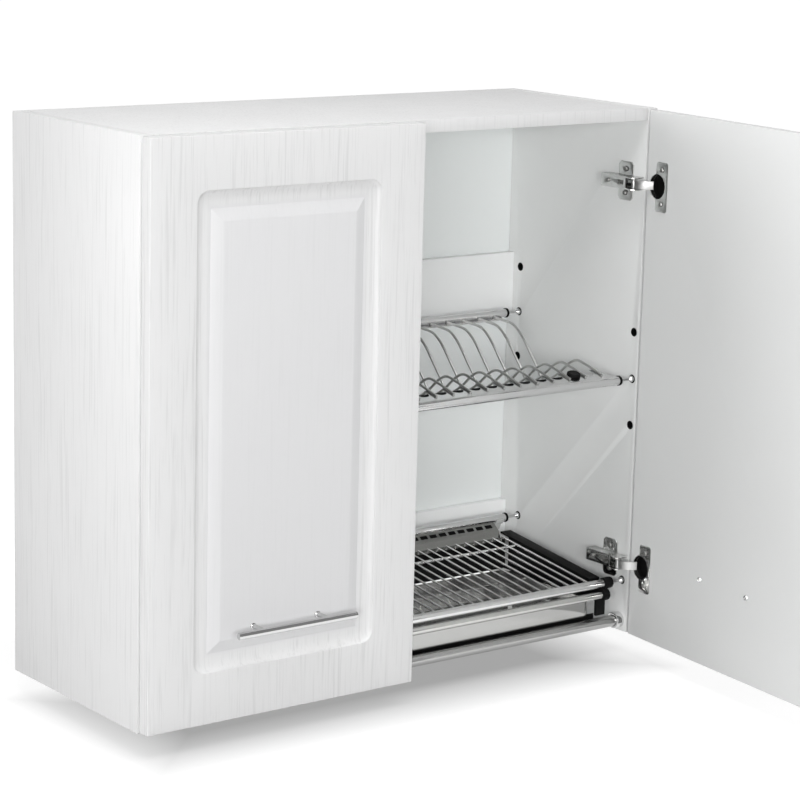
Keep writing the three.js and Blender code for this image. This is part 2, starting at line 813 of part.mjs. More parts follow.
// Web of the plate rack with its ends cut at a slant.
function plateWeb(tube, web) {
  const line = [webPoint(tube, web, 0, 0), webPoint(tube, web, web.length, 0)];
  const sheet = alongX(foldedSheet(line, webSheet), -webHalf, webHalf);
  const [rootY, rootZ] = webPoint(tube, web, 0, 0);
  const [tipY, tipZ] = webPoint(tube, web, web.length + cutOverrun, 0);
  const outline = polygon([
    [-webHalf - cutOverrun, rootY - Math.sign(tipY - rootY) * cutOverrun],
    [webHalf + cutOverrun, rootY - Math.sign(tipY - rootY) * cutOverrun],
    [webHalf - webTaper, tipY], [webTaper - webHalf, tipY],
  ]);
  const low = Math.min(rootZ, tipZ) - cutOverrun;
  const high = Math.max(rootZ, tipZ) + cutOverrun;
  return sheet.intersect(alongZ(outline, low, high));
}

// Notches of the front web, open to the rear, one between each two wires.
function webNotches() {
  const [startY, startZ] = webPoint(plateFront, frontWeb, frontWeb.notchStart, 0);
  const [endY, endZ] = webPoint(plateFront, frontWeb, frontWeb.length + notchCorner + cutOverrun, 0);
  const half = frontWeb.notchWidth / 2;
  const notches = [];
  for (let i = 0; i < plateWireCount - 1; i += 1) {
    const x = (i - plateWireCount / 2 + 1) * plateWirePitch;
    const shape = roundedRectangle(x - half, startY, x + half, endY, notchCorner);
    notches.push(alongZ(shape, startZ - cutOverrun, endZ + cutOverrun, notchSides));
  }
  return notches;
}

// One bent plate wire in the plane at x.
function plateWire(x) {
  const reach = plateFront.y - plateRear.y;
  const rise = plateRear.z - plateFront.z;
  return wire([
    webPoint(plateRear, rearWeb, rearWeb.footStart, wireLift),
    webPoint(plateRear, rearWeb, rearWeb.footEnd, wireLift),
    ...plateWireShares.map(([along, up]) => [plateRear.y + along * reach, plateFront.z + up * rise]),
    webPoint(plateFront, frontWeb, frontWeb.footEnd, wireLift),
    webPoint(plateFront, frontWeb, frontWeb.footStart, wireLift),
  ].map(([y, z]) => [x, y, z]), plateWireRadius, plateWireSides);
}

function plateRack() {
  const comb = cut(plateWeb(plateFront, frontWeb), rackCore(plateFront), ...webNotches());
  const front = join(comb, rackTube(plateFront));
  const rear = join(cut(plateWeb(plateRear, rearWeb), rackCore(plateRear)), rackTube(plateRear));
  const wires = [];
  for (let i = 0; i < plateWireCount; i += 1) {
    wires.push(plateWire((i - (plateWireCount - 1) / 2) * plateWirePitch));
  }
  return join(front, rear, ...wires);
}

// Black comb strip under the front web; a knob at each end comes up through a notch and holds it.
function combStrip() {
  const half = combNotch * plateWirePitch;
  const over = -webSheet / 2 - fitGap;
  const corner = (along, up) => webPoint(plateFront, frontWeb, along, up);
  const strip = alongX(polygon([
    corner(combStart, over), corner(combStart + combWidth, over),
    corner(combStart + combWidth, over - combSheet), corner(combStart, over - combSheet),
  ]), -half - knobStemRadius - knobEdge, half + knobStemRadius + knobEdge);
  const headFoot = webSheet / 2 + fitGap;
  const knob = surface(turned([
    [0, over - combSheet / 2], [knobStemRadius, over - combSheet / 2], [knobStemRadius, headFoot],
    [knobHeadRadius, headFoot], [knobHeadRadius, headFoot + knobHeadHeight - knobEdge],
    [knobHeadRadius - knobEdge, headFoot + knobHeadHeight], [0, headFoot + knobHeadHeight],
  ], tubeSides));
  knob.rotateX(Math.PI / 2 + frontWeb.slope * degree);
  const [y, z] = corner(combStart + combWidth * knobShare, 0);
  const knobs = [-1, 1].map((side) => solid(knob.clone().translate(side * half, y, z)));
  return join(strip, ...knobs);
}

// Sheet of the glass rack's rear rail: a slotted slope, a fold, and a lip that carries the wires.
function glassWeb() {
  const line = [[glassRear.y, glassRear.z], ...[glassFold, glassFoot, glassLip].map(({ y, z }) => [y, z])];
  const sheet = alongX(foldedSheet(line, webSheet), -glassHalf, glassHalf);
  const slots = [];
  for (let i = 0; i < glassWireCount - 1; i += 1) {
    const x = (i - glassWireCount / 2 + 1) * glassWirePitch;
    const half = glassSlotWidth / 2;
    slots.push(box([x - half, glassLip.y, glassSlotLow], [x + half, glassRear.y, glassSlotHigh]));
  }
  return cut(sheet, ...slots);
}

function glassRackWire(x) {
  const { lowRearZ, rearY, rearZ, bend, frontZ, endZ } = glassWire;
  const tubeFace = glassFront.y + rackTubeRadius;
  return wire([
    [x, rearY, lowRearZ], [x, rearY, rearZ - bend], [x, rearY - bend, rearZ],
    [x, tubeFace + bend * 2, frontZ], [x, tubeFace - rackTubeWall / 2, endZ],
  ], glassWireRadius, glassWireSides);
}

// Height of the straight wires at a given distance from the wall.
function glassWireHeight(y) {
  const { rearY, rearZ, bend, frontZ } = glassWire;
  const start = rearY - bend;
  const end = glassFront.y + rackTubeRadius + bend * 2;
  return rearZ + (frontZ - rearZ) * ((y - start) / (end - start));
}

function glassRack() {
  const rail = join(cut(glassWeb(), rackCore(glassRear)), rackTube(glassRear));
  const wires = [];
  for (let i = 0; i < glassWireCount; i += 1) {
    wires.push(glassRackWire((i - (glassWireCount - 1) / 2) * glassWirePitch));
  }
  const barZ = glassWireHeight(crossBarY) - glassWireRadius - crossBarRadius + wireSink;
  const barHalf = rackTubeHalf - crossBarInset;
  const bar = roundRod(crossBarRadius, -barHalf, barHalf, crossBarY, barZ, glassWireSides);
  return join(rail, rackTube(glassFront), bar, ...wires);
}

// Black side frame: a channel whose top lies on the cross bar along the wires' slope and whose ledge
// carries the tray's rim, with sockets for the front tube and the tray's rolled edge, and a tab in front.
function sideFrame() {
  const outer = rackTubeHalf - frameOuterInset;
  const inner = rackTubeHalf - frameInnerInset;
  const wall = outer - frameSheet;
  const rear = -frameRearDepth;
  const front = frameSetback - carcassDepth;
  const lift = wireSink - glassWireRadius + fitGap + frameSheet;
  const rearTop = glassWireHeight(rear) + lift;
  const frontTop = glassWireHeight(front) + lift;
  const cheek = polygon([[front, frameBottom], [rear, frameBottom], [rear, rearTop], [front, frontTop]]);
  const cover = polygon([
    [front, frontTop - frameSheet], [rear, rearTop - frameSheet], [rear, rearTop], [front, frontTop],
  ]);
  const channel = join(
    alongX(cheek, wall, outer),
    alongX(cover, inner, outer),
    box([rackTubeHalf - frameLedgeInset, trayRimFront, frameBottom], [outer, rear, frameBottom + frameSheet]),
    box([wall, front, frameRibZ], [outer + frameRib, rear, frameRibZ + frameRib]),
  );
  const tubeCollar = roundRod(
    collarRadius, rackTubeHalf - collarInset, capFace, glassFront.y, glassFront.z, cupSides,
  );
  const bridge = box([wall, beadY, beadZ], [outer, front, glassFront.z]);
  const beadEnd = beadHalf + fitGap;
  const beadCollar = roundRod(
    beadRadius + fitGap + beadCollarSheet, rackTubeHalf - beadCollarInset, beadEnd + beadCollarSheet,
    beadY, beadZ, cupSides,
  );
  const tabInner = rackTubeHalf - tabInnerInset;
  const tab = box([tabInner, beadY - tabSheet, tabBottom], [tabInner + tabWidth, beadY, tabTop]);
  const tubeBore = roundRod(
    rackTubeRadius + fitGap, -cutOverrun, rackTubeHalf + fitGap, glassFront.y, glassFront.z,
  );
  const pinBore = roundRod(
    rackPinRadius + fitGap, 0, capFace + cutOverrun, glassFront.y, glassFront.z, pinSides,
  );
  const beadBore = roundRod(beadRadius + fitGap, 0, beadEnd, beadY, beadZ);
  return cut(join(channel, tubeCollar, bridge, beadCollar, tab), tubeBore, pinBore, beadBore);
}

// Light saddle under the rear tube's end, with a tapered leg that points down to the side frame.
function rearClip() {
  const start = rackTubeHalf - clipInset;
  const end = start + clipLength;
  const { y, z } = glassRear;
  const ring = alongX(ringShape(clipRadius, rackTubeRadius + fitGap, y, z), start, end);
  const upper = box(
    [start - cutOverrun, y - clipRadius - cutOverrun, z + fitGap],
    [end + cutOverrun, y + clipRadius + cutOverrun, z + clipRadius + cutOverrun],
  );
  const legTop = z - rackTubeRadius - fitGap * 2;
  const legEnd = z - clipRadius - clipLegDepth;
  const leg = alongY(polygon([
    [start, legTop], [start + clipTaper, legEnd], [end - clipTaper, legEnd], [end, legTop],
  ]), y - clipLegSheet, y + clipLegSheet);
  return join(cut(ring, upper), leg);
}

// Drip tray: a pan with a rim at each side and a rolled front edge.
function dripTray() {
  const outer = roundedRectangle(-trayHalf, trayFront, trayHalf, trayRear, trayCorner);
  const inner = roundedRectangle(
    traySheet - trayHalf, trayFront + traySheet, trayHalf - traySheet, trayRear - traySheet,
    trayCorner - traySheet,
  );
  const panTop = trayRimTop + traySheet;
  const pan = cut(
    alongZ(outer, trayBottom, panTop, cornerSides),
    alongZ(inner, trayBottom + traySheet, panTop + cutOverrun, cornerSides),
  );
  const rims = [-1, 1].map((side) => {
    const ends = [side * (trayHalf - traySheet / 2), side * (rackTubeHalf - trayRimInset)];
    const [left, right] = ends.sort((a, b) => a - b);
    return box([left, trayRimFront, trayRimTop], [right, trayRear - trayCorner, panTop]);
  });
  const frontWall = box(
    [trayCorner - trayHalf, trayFront, trayRimTop],
    [trayHalf - trayCorner, trayFront + traySheet, trayFrontTop],
  );
  const bead = alongX(ringShape(beadRadius, beadRadius - traySheet, beadY, beadZ), -beadHalf, beadHalf);
  const core = roundRod(beadRadius - traySheet, -beadHalf, beadHalf, beadY, beadZ);
  return join(cut(join(pan, frontWall), core), ...rims, bead);
}

addPart(carcass, 'plate_rack', plateRack(), chrome);
addPart(carcass, 'comb_strip', combStrip(), blackPlastic);
addPart(carcass, 'glass_rack', glassRack(), chrome);
addPair(carcass, 'side_frame', sideFrame(), blackPlastic);
addPair(carcass, 'rear_clip', rearClip(), greyPlastic);
addPart(carcass, 'drip_tray', dripTray(), stainless);

const rackTubes = {
  plate_front: plateFront, plate_rear: plateRear, glass_front: glassFront, glass_rear: glassRear,
};
for (const [name, tube] of Object.entries(rackTubes)) {
  addPair(carcass, `${name}_pin`, wallPin(tube), chrome);
  if (tube !== glassFront) addPair(carcass, `${name}_cap`, tubeCap(tube), blackPlastic);
}

export default cabinet;
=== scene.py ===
"""Dish drying cabinet: two doors, plate rack, glass rack and drip tray.

Lengths are millimetres in the cabinet's own measure, with z = 0 at the lower end of the side panels;
a piece is turned into metres in the part's frame when it is made. Camera, lamps and floor are in metres.
"""

import math

import bmesh
import bpy
from mathutils import Matrix, Vector


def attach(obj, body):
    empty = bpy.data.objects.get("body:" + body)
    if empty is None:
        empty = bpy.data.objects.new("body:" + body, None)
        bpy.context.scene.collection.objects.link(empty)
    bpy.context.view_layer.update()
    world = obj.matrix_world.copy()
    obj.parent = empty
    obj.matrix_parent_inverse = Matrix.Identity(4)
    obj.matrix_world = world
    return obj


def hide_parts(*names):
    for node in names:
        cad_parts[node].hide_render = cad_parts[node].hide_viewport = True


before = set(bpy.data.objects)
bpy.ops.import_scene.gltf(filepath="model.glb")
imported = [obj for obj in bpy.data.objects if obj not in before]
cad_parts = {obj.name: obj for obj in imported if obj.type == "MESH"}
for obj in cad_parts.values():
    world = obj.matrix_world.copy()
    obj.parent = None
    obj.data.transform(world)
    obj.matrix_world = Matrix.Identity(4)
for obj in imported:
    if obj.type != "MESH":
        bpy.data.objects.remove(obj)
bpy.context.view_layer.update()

# Sizes

METRE = 0.001
ORIGIN_HEIGHT = 712.0
SAME_PLACE = 1e-6  # metres; points closer than this are one

CABINET_DEPTH = 300.0
INNER_X = 384.0
UNDER_TOP = 704.0
FIT_GAP = 0.3
SIDES = {"left": -1, "right": 1}

DOOR_AXIS_X = 392.3
DOOR_AXIS_Y = -315.0
DOOR_EDGE = 5.7
DOOR_FREE = DOOR_EDGE - 397.0
DOOR_MIDDLE = (DOOR_EDGE + DOOR_FREE) / 2
DOOR_INNER = 13.0
DOOR_OUTER = -5.0
DOOR_LOW = 1.5
DOOR_HIGH = 718.5
DOOR_ROUNDING = 1.4
DOOR_OPEN = {"left": 0.0, "right": 85.0}

PANEL_INSET = 65.0
PANEL_COVE = 14.0
PANEL_STEP = 0.45
PANEL_DEPTH = 6.5
PANEL_FLOOR = 8.0
PANEL_BEVEL = 16.0
PANEL_SINK = 1.0
PANEL_RADIUS = 16.0
PANEL_FOOT = PANEL_INSET + PANEL_COVE + PANEL_FLOOR

HINGE_HEIGHTS = {"lower": 100.0, "upper": 620.0}
CUP_CENTRE = DOOR_EDGE - 22.5
CUP_RADIUS = 17.5
CUP_DEPTH = 11.5
CUP_WALL = 0.9
FLANGE_OFFSET = 9.5
FLANGE_SHEET = 1.0
FLANGE_SCREW_HALF = 22.5
PLATE_SETBACK = 37.0
PLATE_SCREW_HALF = 16.0
PLATE_HEIGHT = 2.9
ARM_SCREWS = ((55.0, 17.6), (30.0, 9.0))  # behind the carcass's front edge and off the side panel

HANDLE_Z = 115.5
HANDLE_Y = DOOR_OUTER - 28.0
HANDLE_RADIUS = 4.5
HANDLE_HALF = 88.0
POST_HALF = 48.0
POST_RADIUS = 3.0
COLLAR_RADIUS = POST_RADIUS + 0.9

TUBE_RADIUS = 6.0
TUBE_INNER = 5.0
TUBE_HALF = 358.0
TUBE_END = TUBE_HALF + FIT_GAP
CAP_FLANGE = 4.0
HOLE_RADIUS = 5.0
HOLE_DEPTH = 9.0
HOLE_STEP = 64.0
PLATE_FRONT = (-290.0, 354.0)  # places of the tubes are (y, z)
PLATE_REAR = (-47.0, 409.0)
GLASS_FRONT = (-287.0, 72.0)
GLASS_REAR = (-60.0, 114.0)
TIE_TUBE = (-284.0, 15.0)

# Making meshes


def to_frame(point):
    x, y, z = point
    return Vector((x * METRE, y * METRE, (z - ORIGIN_HEIGHT) * METRE))


class Shape:
    """Points and faces of one piece, in the cabinet's measure."""

    def __init__(self, points, faces):
        self.points = [tuple(p) for p in points]
        self.faces = [list(f) for f in faces]

    def moved(self, matrix):
        return Shape([matrix @ Vector(p) for p in self.points], self.faces)

    def on_side(self, sign):
        """The same shape on the right (1) or mirrored to the left (-1)."""
        return self.moved(Matrix.Diagonal((sign, 1, 1, 1)))

    def join(self, other):
        start = len(self.points)
        self.points.extend(other.points)
        self.faces.extend([start + i for i in face] for face in other.faces)
        return self


def stacked(loops, first_cap=True, last_cap=True):
    """Skin through loops of equally many points, closed at the ends where asked for."""
    count = len(loops[0])
    last = (len(loops) - 1) * count
    faces = []
    for start in range(0, last, count):
        for i in range(count):
            j = (i + 1) % count
            faces.append([start + i, start + j, start + count + j, start + count + i])
    if first_cap:
        faces.append(range(count))
    if last_cap:
        faces.append(range(last, last + count))
    return Shape([p for loop in loops for p in loop], faces)


def turned(profile, origin, axis="x", sides=32):
    """Solid of revolution from pairs of radius and distance along the axis; a closed profile gives a ring."""
    loops = []
    for radius, along in profile:
        loop = []
        for i in range(sides):
            angle = 2 * math.pi * i / sides
            c, s = radius * math.cos(angle), radius * math.sin(angle)
            offset = (along, c, s) if axis == "x" else (s, along, c)
            loop.append([o + d for o, d in zip(origin, offset)])
        loops.append(loop)
    capped = profile[0] != profile[-1]
    return stacked(loops, capped, capped)


def rod(radius, start, end, y, z, sides, edge=0.0):
    """Round bar along X, with softened ends if an edge is given."""
    profile = [(radius, start + edge), (radius, end - edge)]
    if edge:
        profile = [(radius - edge, start), *profile, (radius - edge, end)]
    return turned(profile, (0, y, z), "x", sides)


def pipe(outer, inner, half, y, z, sides):
    ring = [(inner, -half), (outer, -half), (outer, half), (inner, half), (inner, -half)]
    return turned(ring, (0, y, z), "x", sides)


def profile_from(start, profile):
    """Profile with its distances counted from a start."""
    return [(radius, start + along) for radius, along in profile]


def bar_along_x(half, section):
    """Straight bar with a section of (y, z) points."""
    return stacked([[(x, y, z) for y, z in section] for x in (-half, half)])


def block(low, high):
    (x0, y0, z0), (x1, y1, z1) = low, high
    loop = [(x0, y0), (x1, y0), (x1, y1), (x0, y1)]
    return stacked([[(x, y, z) for x, y in loop] for z in (z0, z1)])


def quarter_turn(steps, first=0):
    """Sine and cosine at even steps through a quarter turn."""
    for i in range(first, steps + 1):
        angle = math.radians(90 * i / steps)
        yield math.sin(angle), math.cos(angle)


def rounded_loop(low_a, high_a, low_b, high_b, radius, steps):
    """Rounded rectangle as (a, b) points, anticlockwise."""
    points = []
    corners = [
        (high_a - radius, low_b + radius, -90), (high_a - radius, high_b - radius, 0),
        (low_a + radius, high_b - radius, 90), (low_a + radius, low_b + radius, 180),
    ]
    for a, b, start in corners:
        for i in range(steps + 1):
            t = math.radians(start + 90 * i / steps)
            points.append((a + radius * math.cos(t), b + radius * math.sin(t)))
    return points


def link_object(name, data):
    obj = bpy.data.objects.new(name, data)
    bpy.context.scene.collection.objects.link(obj)
    return obj


def link_mesh(name, mesh, finish):
    mesh.materials.clear()
    mesh.materials.append(MATERIALS[finish])
    return link_object(name, mesh)


def clean_mesh(mesh, sharp_angle, keep_normals=False):
    """Merges doubles, turns the faces outwards and shades the round surfaces smooth."""
    bm = bmesh.new()
    bm.from_mesh(mesh)
    bmesh.ops.remove_doubles(bm, verts=bm.verts, dist=SAME_PLACE)
    bmesh.ops.dissolve_degenerate(bm, edges=bm.edges, dist=SAME_PLACE)
    if not keep_normals:
        bmesh.ops.recalc_face_normals(bm, faces=bm.faces)
    limit = math.radians(sharp_angle)
    for edge in bm.edges:
        edge.smooth = edge.calc_face_angle(0.0) < limit
    for face in bm.faces:
        face.smooth = True
    bm.to_mesh(mesh)
    bm.free()


def piece(name, shape, finish, sharp_angle=35):
    mesh = bpy.data.meshes.new(name)
    mesh.from_pydata([to_frame(p) for p in shape.points], [], shape.faces)
    clean_mesh(mesh, sharp_angle)
    return link_mesh(name, mesh, finish)


def settle(obj, body, slot, *nodes):
    """Lets a finished piece ride on its body and hides the nodes it stands for; the slot it is given is not
    used.
    """
    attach(obj, body)
    if nodes:
        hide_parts(*nodes)


def applied(obj):
    """Replaces an object's mesh by what its modifiers make of it, and removes them."""
    graph = bpy.context.evaluated_depsgraph_get()
    mesh = bpy.data.meshes.new_from_object(obj.evaluated_get(graph), depsgraph=graph)
    obj.modifiers.clear()
    obj.data = mesh


def modified(obj, name, kind, **settings):
    """Runs one modifier on an object and keeps the plain mesh."""
    modifier = obj.modifiers.new(name, kind)
    for label, value in settings.items():
        setattr(modifier, label, value)
    applied(obj)


def thickened(name, shape, thickness, finish, sharp_angle):
    """Sheet of even thickness, half of it on each side of a surface."""
    obj = piece(name, shape, finish, 80)
    modified(obj, "sheet", "SOLIDIFY", thickness=thickness * METRE, offset=0.0, use_even_offset=True)
    clean_mesh(obj.data, sharp_angle)
    return obj


def dressed(node, name, finish, bevel):
    """Merged copy of a node's mesh with softened edges."""
    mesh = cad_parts[node].data.copy()
    mesh.name = name
    bm = bmesh.new()
    bm.from_mesh(mesh)
    bmesh.ops.remove_doubles(bm, verts=bm.verts, dist=SAME_PLACE)
    bmesh.ops.dissolve_limit(
        bm, angle_limit=math.radians(1), verts=bm.verts, edges=bm.edges, use_dissolve_boundaries=False
    )
    bm.to_mesh(mesh)
    bm.free()
    obj = link_mesh(name, mesh, finish)
    modified(
        obj, "soft edges", "BEVEL", width=bevel * METRE, segments=2, limit_method="ANGLE",
        angle_limit=math.radians(50), harden_normals=False, use_clamp_overlap=True,
    )
    clean_mesh(obj.data, 25, keep_normals=True)
    return obj


# Node trees


class Net:
    """Short ways to add nodes to a tree. An input is given a plain value or another node's output."""

    def __init__(self, tree):
        self.tree = tree

    def put(self, socket, value):
        if isinstance(value, bpy.types.NodeSocket):
            self.tree.links.new(value, socket)
        elif socket.type == "RGBA":
            socket.default_value = (*value, 1.0)
        else:
            socket.default_value = value

    def add(self, kind, inputs=(), **settings):
        node = self.tree.nodes.new(kind)
        for label, value in settings.items():
            setattr(node, label, value)
        for label, value in dict(inputs).items():
            self.put(node.inputs[label], value)
        return node

    def out(self, kind, inputs=(), **settings):
        """Adds a node and gives its first output."""
        return self.add(kind, inputs, **settings).outputs[0]

    def math(self, operation, a, b=0.5, clamp=False):
        return self.out("ShaderNodeMath", {0: a, 1: b}, operation=operation, use_clamp=clamp)

    def plus(self, a, b):
        return self.math("ADD", a, b)

    def minus(self, a, b):
        return self.math("SUBTRACT", a, b)

    def times(self, a, b):
        return self.math("MULTIPLY", a, b)

    def larger(self, a, b):
        return self.math("MAXIMUM", a, b)

    def ramp(self, value, low, high, first=0.0, last=1.0):
        """Goes from first to last as the value goes from low to high, and no further."""
        span = {"From Min": low, "From Max": high, "To Min": first, "To Max": last}
        return self.out("ShaderNodeMapRange", {"Value": value, **span})

    def between(self, factor, first, last):
        return self.ramp(factor, 0.0, 1.0, first, last)

    def mix(self, factor, first, second):
        inputs = {0: factor, 6: first, 7: second}
        return self.add("ShaderNodeMix", inputs, data_type="RGBA").outputs[2]

    def laid_over(self, ground, mask, share, colour):
        """Colour over a ground where the mask says so, at most by the given share."""
        return self.mix(self.times(mask, share), ground, colour)

    def parts(self, vector):
        """The three measures of a vector."""
        return self.add("ShaderNodeSeparateXYZ", {0: vector}).outputs

    def joined(self, *measures):
        return self.out("ShaderNodeCombineXYZ", enumerate(measures))

    def noise(self, vector, scale, detail=3.0, roughness=0.5):
        inputs = {"Vector": vector, "Scale": scale, "Detail": detail, "Roughness": roughness}
        return self.out("ShaderNodeTexNoise", inputs)

    def stretched(self, vector, scale):
        return self.out("ShaderNodeMapping", {"Vector": vector, "Scale": scale})

    def group(self, tree, vector, **values):
        """Outputs of a shader group run on a vector."""
        return self.add("ShaderNodeGroup", {"Vector": vector, **values}, node_tree=tree).outputs


def new_tree(name, kind, inputs, outputs):
    """Node group with its sockets, as its net, the outputs of what is given and the inputs of the result."""
    tree = bpy.data.node_groups.new(name, f"{kind}NodeTree")
    for label, socket_kind, value in inputs:
        socket = tree.interface.new_socket(name=label, in_out="INPUT", socket_type=f"NodeSocket{socket_kind}")
        if value is not None:
            socket.default_value = value
    for label, socket_kind in outputs:
        tree.interface.new_socket(name=label, in_out="OUTPUT", socket_type=f"NodeSocket{socket_kind}")
    net = Net(tree)
    return net, net.add("NodeGroupInput").outputs, net.add("NodeGroupOutput").inputs


def ash_grain_group():
    """Upright ash pores: fine broken streaks, wider bands and slow waves. Vector is in metres, z upright."""
    net, given, result = new_tree(
        "ash grain", "Shader", [("Vector", "Vector", None), ("Waviness", "Float", 0.006)],
        [("Pores", "Float"), ("Bands", "Float")],
    )
    vector = given["Vector"]
    drift = net.noise(net.stretched(vector, (3.0, 3.0, 1.6)), 1.6, 2.0)
    shift = net.times(net.minus(drift, 0.5), given["Waviness"])
    x, y, z = net.parts(vector)
    waved = net.joined(net.plus(x, shift), net.plus(y, shift), z)

    def streaks(squeeze, scale, detail, roughness=0.5):
        return net.noise(net.stretched(waved, (1.0, 1.0, squeeze)), scale, detail, roughness)

    thin = net.times(net.ramp(streaks(0.03, 420.0, 3.0, 0.6), 0.54, 0.66), 0.7)
    wide = net.ramp(streaks(0.022, 240.0, 2.0), 0.55, 0.66)
    breaks = net.ramp(streaks(0.2, 40.0, 2.0), 0.3, 0.5)
    net.put(result["Pores"], net.math("MULTIPLY", net.larger(thin, wide), breaks, clamp=True))
    net.put(result["Bands"], net.ramp(streaks(0.05, 46.0, 2.0), 0.3, 0.7))
    return net.tree


def mottle_group():
    """Uneven sheen of a wiped surface, in broad clouds."""
    vector = [("Vector", "Vector", None)]
    net, given, result = new_tree("wiped sheen", "Shader", vector, [("Clouds", "Float")])
    net.put(result["Clouds"], net.ramp(net.noise(given["Vector"], 9.0, 4.0, 0.6), 0.3, 0.7))
    return net.tree


def drawn_metal_group():
    """Fine draw lines along one direction, set by how far each axis is stretched."""
    net, given, result = new_tree(
        "drawn metal", "Shader", [("Vector", "Vector", None), ("Stretch", "Vector", (0.02, 1.0, 1.0))],
        [("Lines", "Float"), ("Patches", "Float")],
    )
    scaled = net.out("ShaderNodeVectorMath", {0: given["Vector"], 1: given["Stretch"]}, operation="MULTIPLY")
    net.put(result["Lines"], net.ramp(net.noise(scaled, 900.0, 2.0, 0.6), 0.35, 0.65))
    net.put(result["Patches"], net.ramp(net.noise(given["Vector"], 26.0, 3.0, 0.55), 0.35, 0.65))
    return net.tree


GRAIN = ash_grain_group()
MOTTLE = mottle_group()
DRAWN = drawn_metal_group()

# Materials

FOIL_WHITE = (0.715, 0.715, 0.716)
# The raised field of a door takes a slightly darker copy of the foil white: painted shade.
SHADED_DOOR_FIELD = (FOIL_WHITE[0] * 0.935, FOIL_WHITE[1] * 0.935, FOIL_WHITE[2] * 0.945)
DOOR_INSIDE = (0.745, 0.752, 0.748)
SIDE_INSIDE = (0.775, 0.785, 0.778)
INSIDE_WHITE = (0.87, 0.895, 0.89)
RAIL_WHITE = (0.93, 0.94, 0.938)
PORE_STRENGTH = 0.62
FOIL_START = (0.3, 0.9)  # where the grained foil of a carcass board begins, off its inner face
DOOR_FOIL_START = (-1.2, -1.6)
PAN_FRONT_START = (1.6, 2.0)
PAN_FRONT_Y = -286.0
PAN_FLOOR_Z = 29.0


def new_material(name, metallic=0.0):
    """Material with its net and the place on the piece in metres."""
    material = bpy.data.materials.new(name)
    material.use_nodes = True
    net = Net(material.node_tree)
    net.tree.nodes["Principled BSDF"].inputs["Metallic"].default_value = metallic
    return material, net, net.add("ShaderNodeTexCoord").outputs["Object"]


def coated(material, net, colour, roughness, bump=None):
    """Gives a material its colour, roughness and bump, which is height, distance in metres and strength."""
    shader = net.tree.nodes["Principled BSDF"].inputs
    net.put(shader["Base Color"], colour)
    net.put(shader["Roughness"], roughness)
    if bump:
        inputs = dict(zip(("Height", "Distance", "Strength"), bump))
        net.put(shader["Normal"], net.out("ShaderNodeBump", inputs))
    return material


def tinted(colour, level):
    return tuple(c * level for c in colour)


def door_place(net, place, side):
    """Place on a door in the measure of that door when closed, with the hinge axis at x = y = 0."""
    axis = (SIDES[side] * DOOR_AXIS_X * METRE, DOOR_AXIS_Y * METRE, 0)
    turn = (0, 0, math.radians(DOOR_OPEN[side] * SIDES[side]))
    inputs = {"Vector": place, "Location": axis, "Rotation": turn}
    return net.out("ShaderNodeMapping", inputs, vector_type="TEXTURE")


def door_frame_mask(net, side, x, z):
    """1 on the frame and its cove, 0 on the raised field of a door."""
    middle_z = ((DOOR_LOW + DOOR_HIGH) / 2 - ORIGIN_HEIGHT) * METRE
    half_x = (DOOR_EDGE - DOOR_FREE) / 2 * METRE - PANEL_FOOT * METRE
    half_z = (DOOR_HIGH - DOOR_LOW) / 2 * METRE - PANEL_FOOT * METRE
    far_x = net.math("ABSOLUTE", net.minus(x, SIDES[side] * DOOR_MIDDLE * METRE))
    far_z = net.math("ABSOLUTE", net.minus(z, middle_z))
    beyond = net.larger(net.minus(far_x, half_x), net.minus(far_z, half_z))
    return net.ramp(beyond, 0.0, 0.006)


def foil_material(name, streak, side=None, board=None):
    """White ash foil with a smooth inner face, for the door of a side or for a board of the carcass."""
    material, net, place = new_material(name)
    if side:
        place = door_place(net, place, side)
    grain = net.group(GRAIN, place)
    clouds = net.group(MOTTLE, place)["Clouds"]
    x, y, z = net.parts(place)
    across, inner, start = z, UNDER_TOP - ORIGIN_HEIGHT, FOIL_START
    if side:
        across, inner, start = y, DOOR_INNER, DOOR_FOIL_START
    elif board == "side":
        across, inner = net.math("ABSOLUTE", x), INNER_X
    outside = net.ramp(across, *((inner + depth) * METRE for depth in start))
    pores, bands = (net.times(grain[label], outside) for label in ("Pores", "Bands"))
    if side:
        frame_part = door_frame_mask(net, side, x, z)
        calm = net.between(frame_part, 0.25, 1.0)
        pores, bands = net.times(pores, calm), net.times(bands, calm)
        # Painted shade: the raised field gets the darker copy of the foil, the frame the plain foil.
        ground = net.mix(frame_part, SHADED_DOOR_FIELD, FOIL_WHITE)
    else:
        ground = net.mix(outside, SIDE_INSIDE, FOIL_WHITE)
    shade = net.laid_over(ground, pores, PORE_STRENGTH, tinted(FOIL_WHITE, streak))
    shade = net.laid_over(shade, bands, 0.2, tinted(FOIL_WHITE, 0.97))
    shade = net.laid_over(shade, clouds, 0.25, tinted(FOIL_WHITE, 0.985))
    if side:
        shade = net.mix(outside, DOOR_INSIDE, shade)
    rough = net.plus(net.between(clouds, 0.4, 0.5), net.times(pores, 0.12))
    return coated(material, net, shade, rough, (net.minus(1.0, pores), 0.00012, 0.5))


def melamine_material(name, colour):
    """Smooth satin facing of the inside, with a very fine pearl structure."""
    material, net, place = new_material(name)
    clouds = net.group(MOTTLE, place)["Clouds"]
    shade = net.laid_over(colour, clouds, 0.35, tinted(colour, 0.97))
    pearl = net.noise(place, 1400.0, 2.0)
    return coated(material, net, shade, net.between(clouds, 0.42, 0.52), (pearl, 0.00004, 0.35))


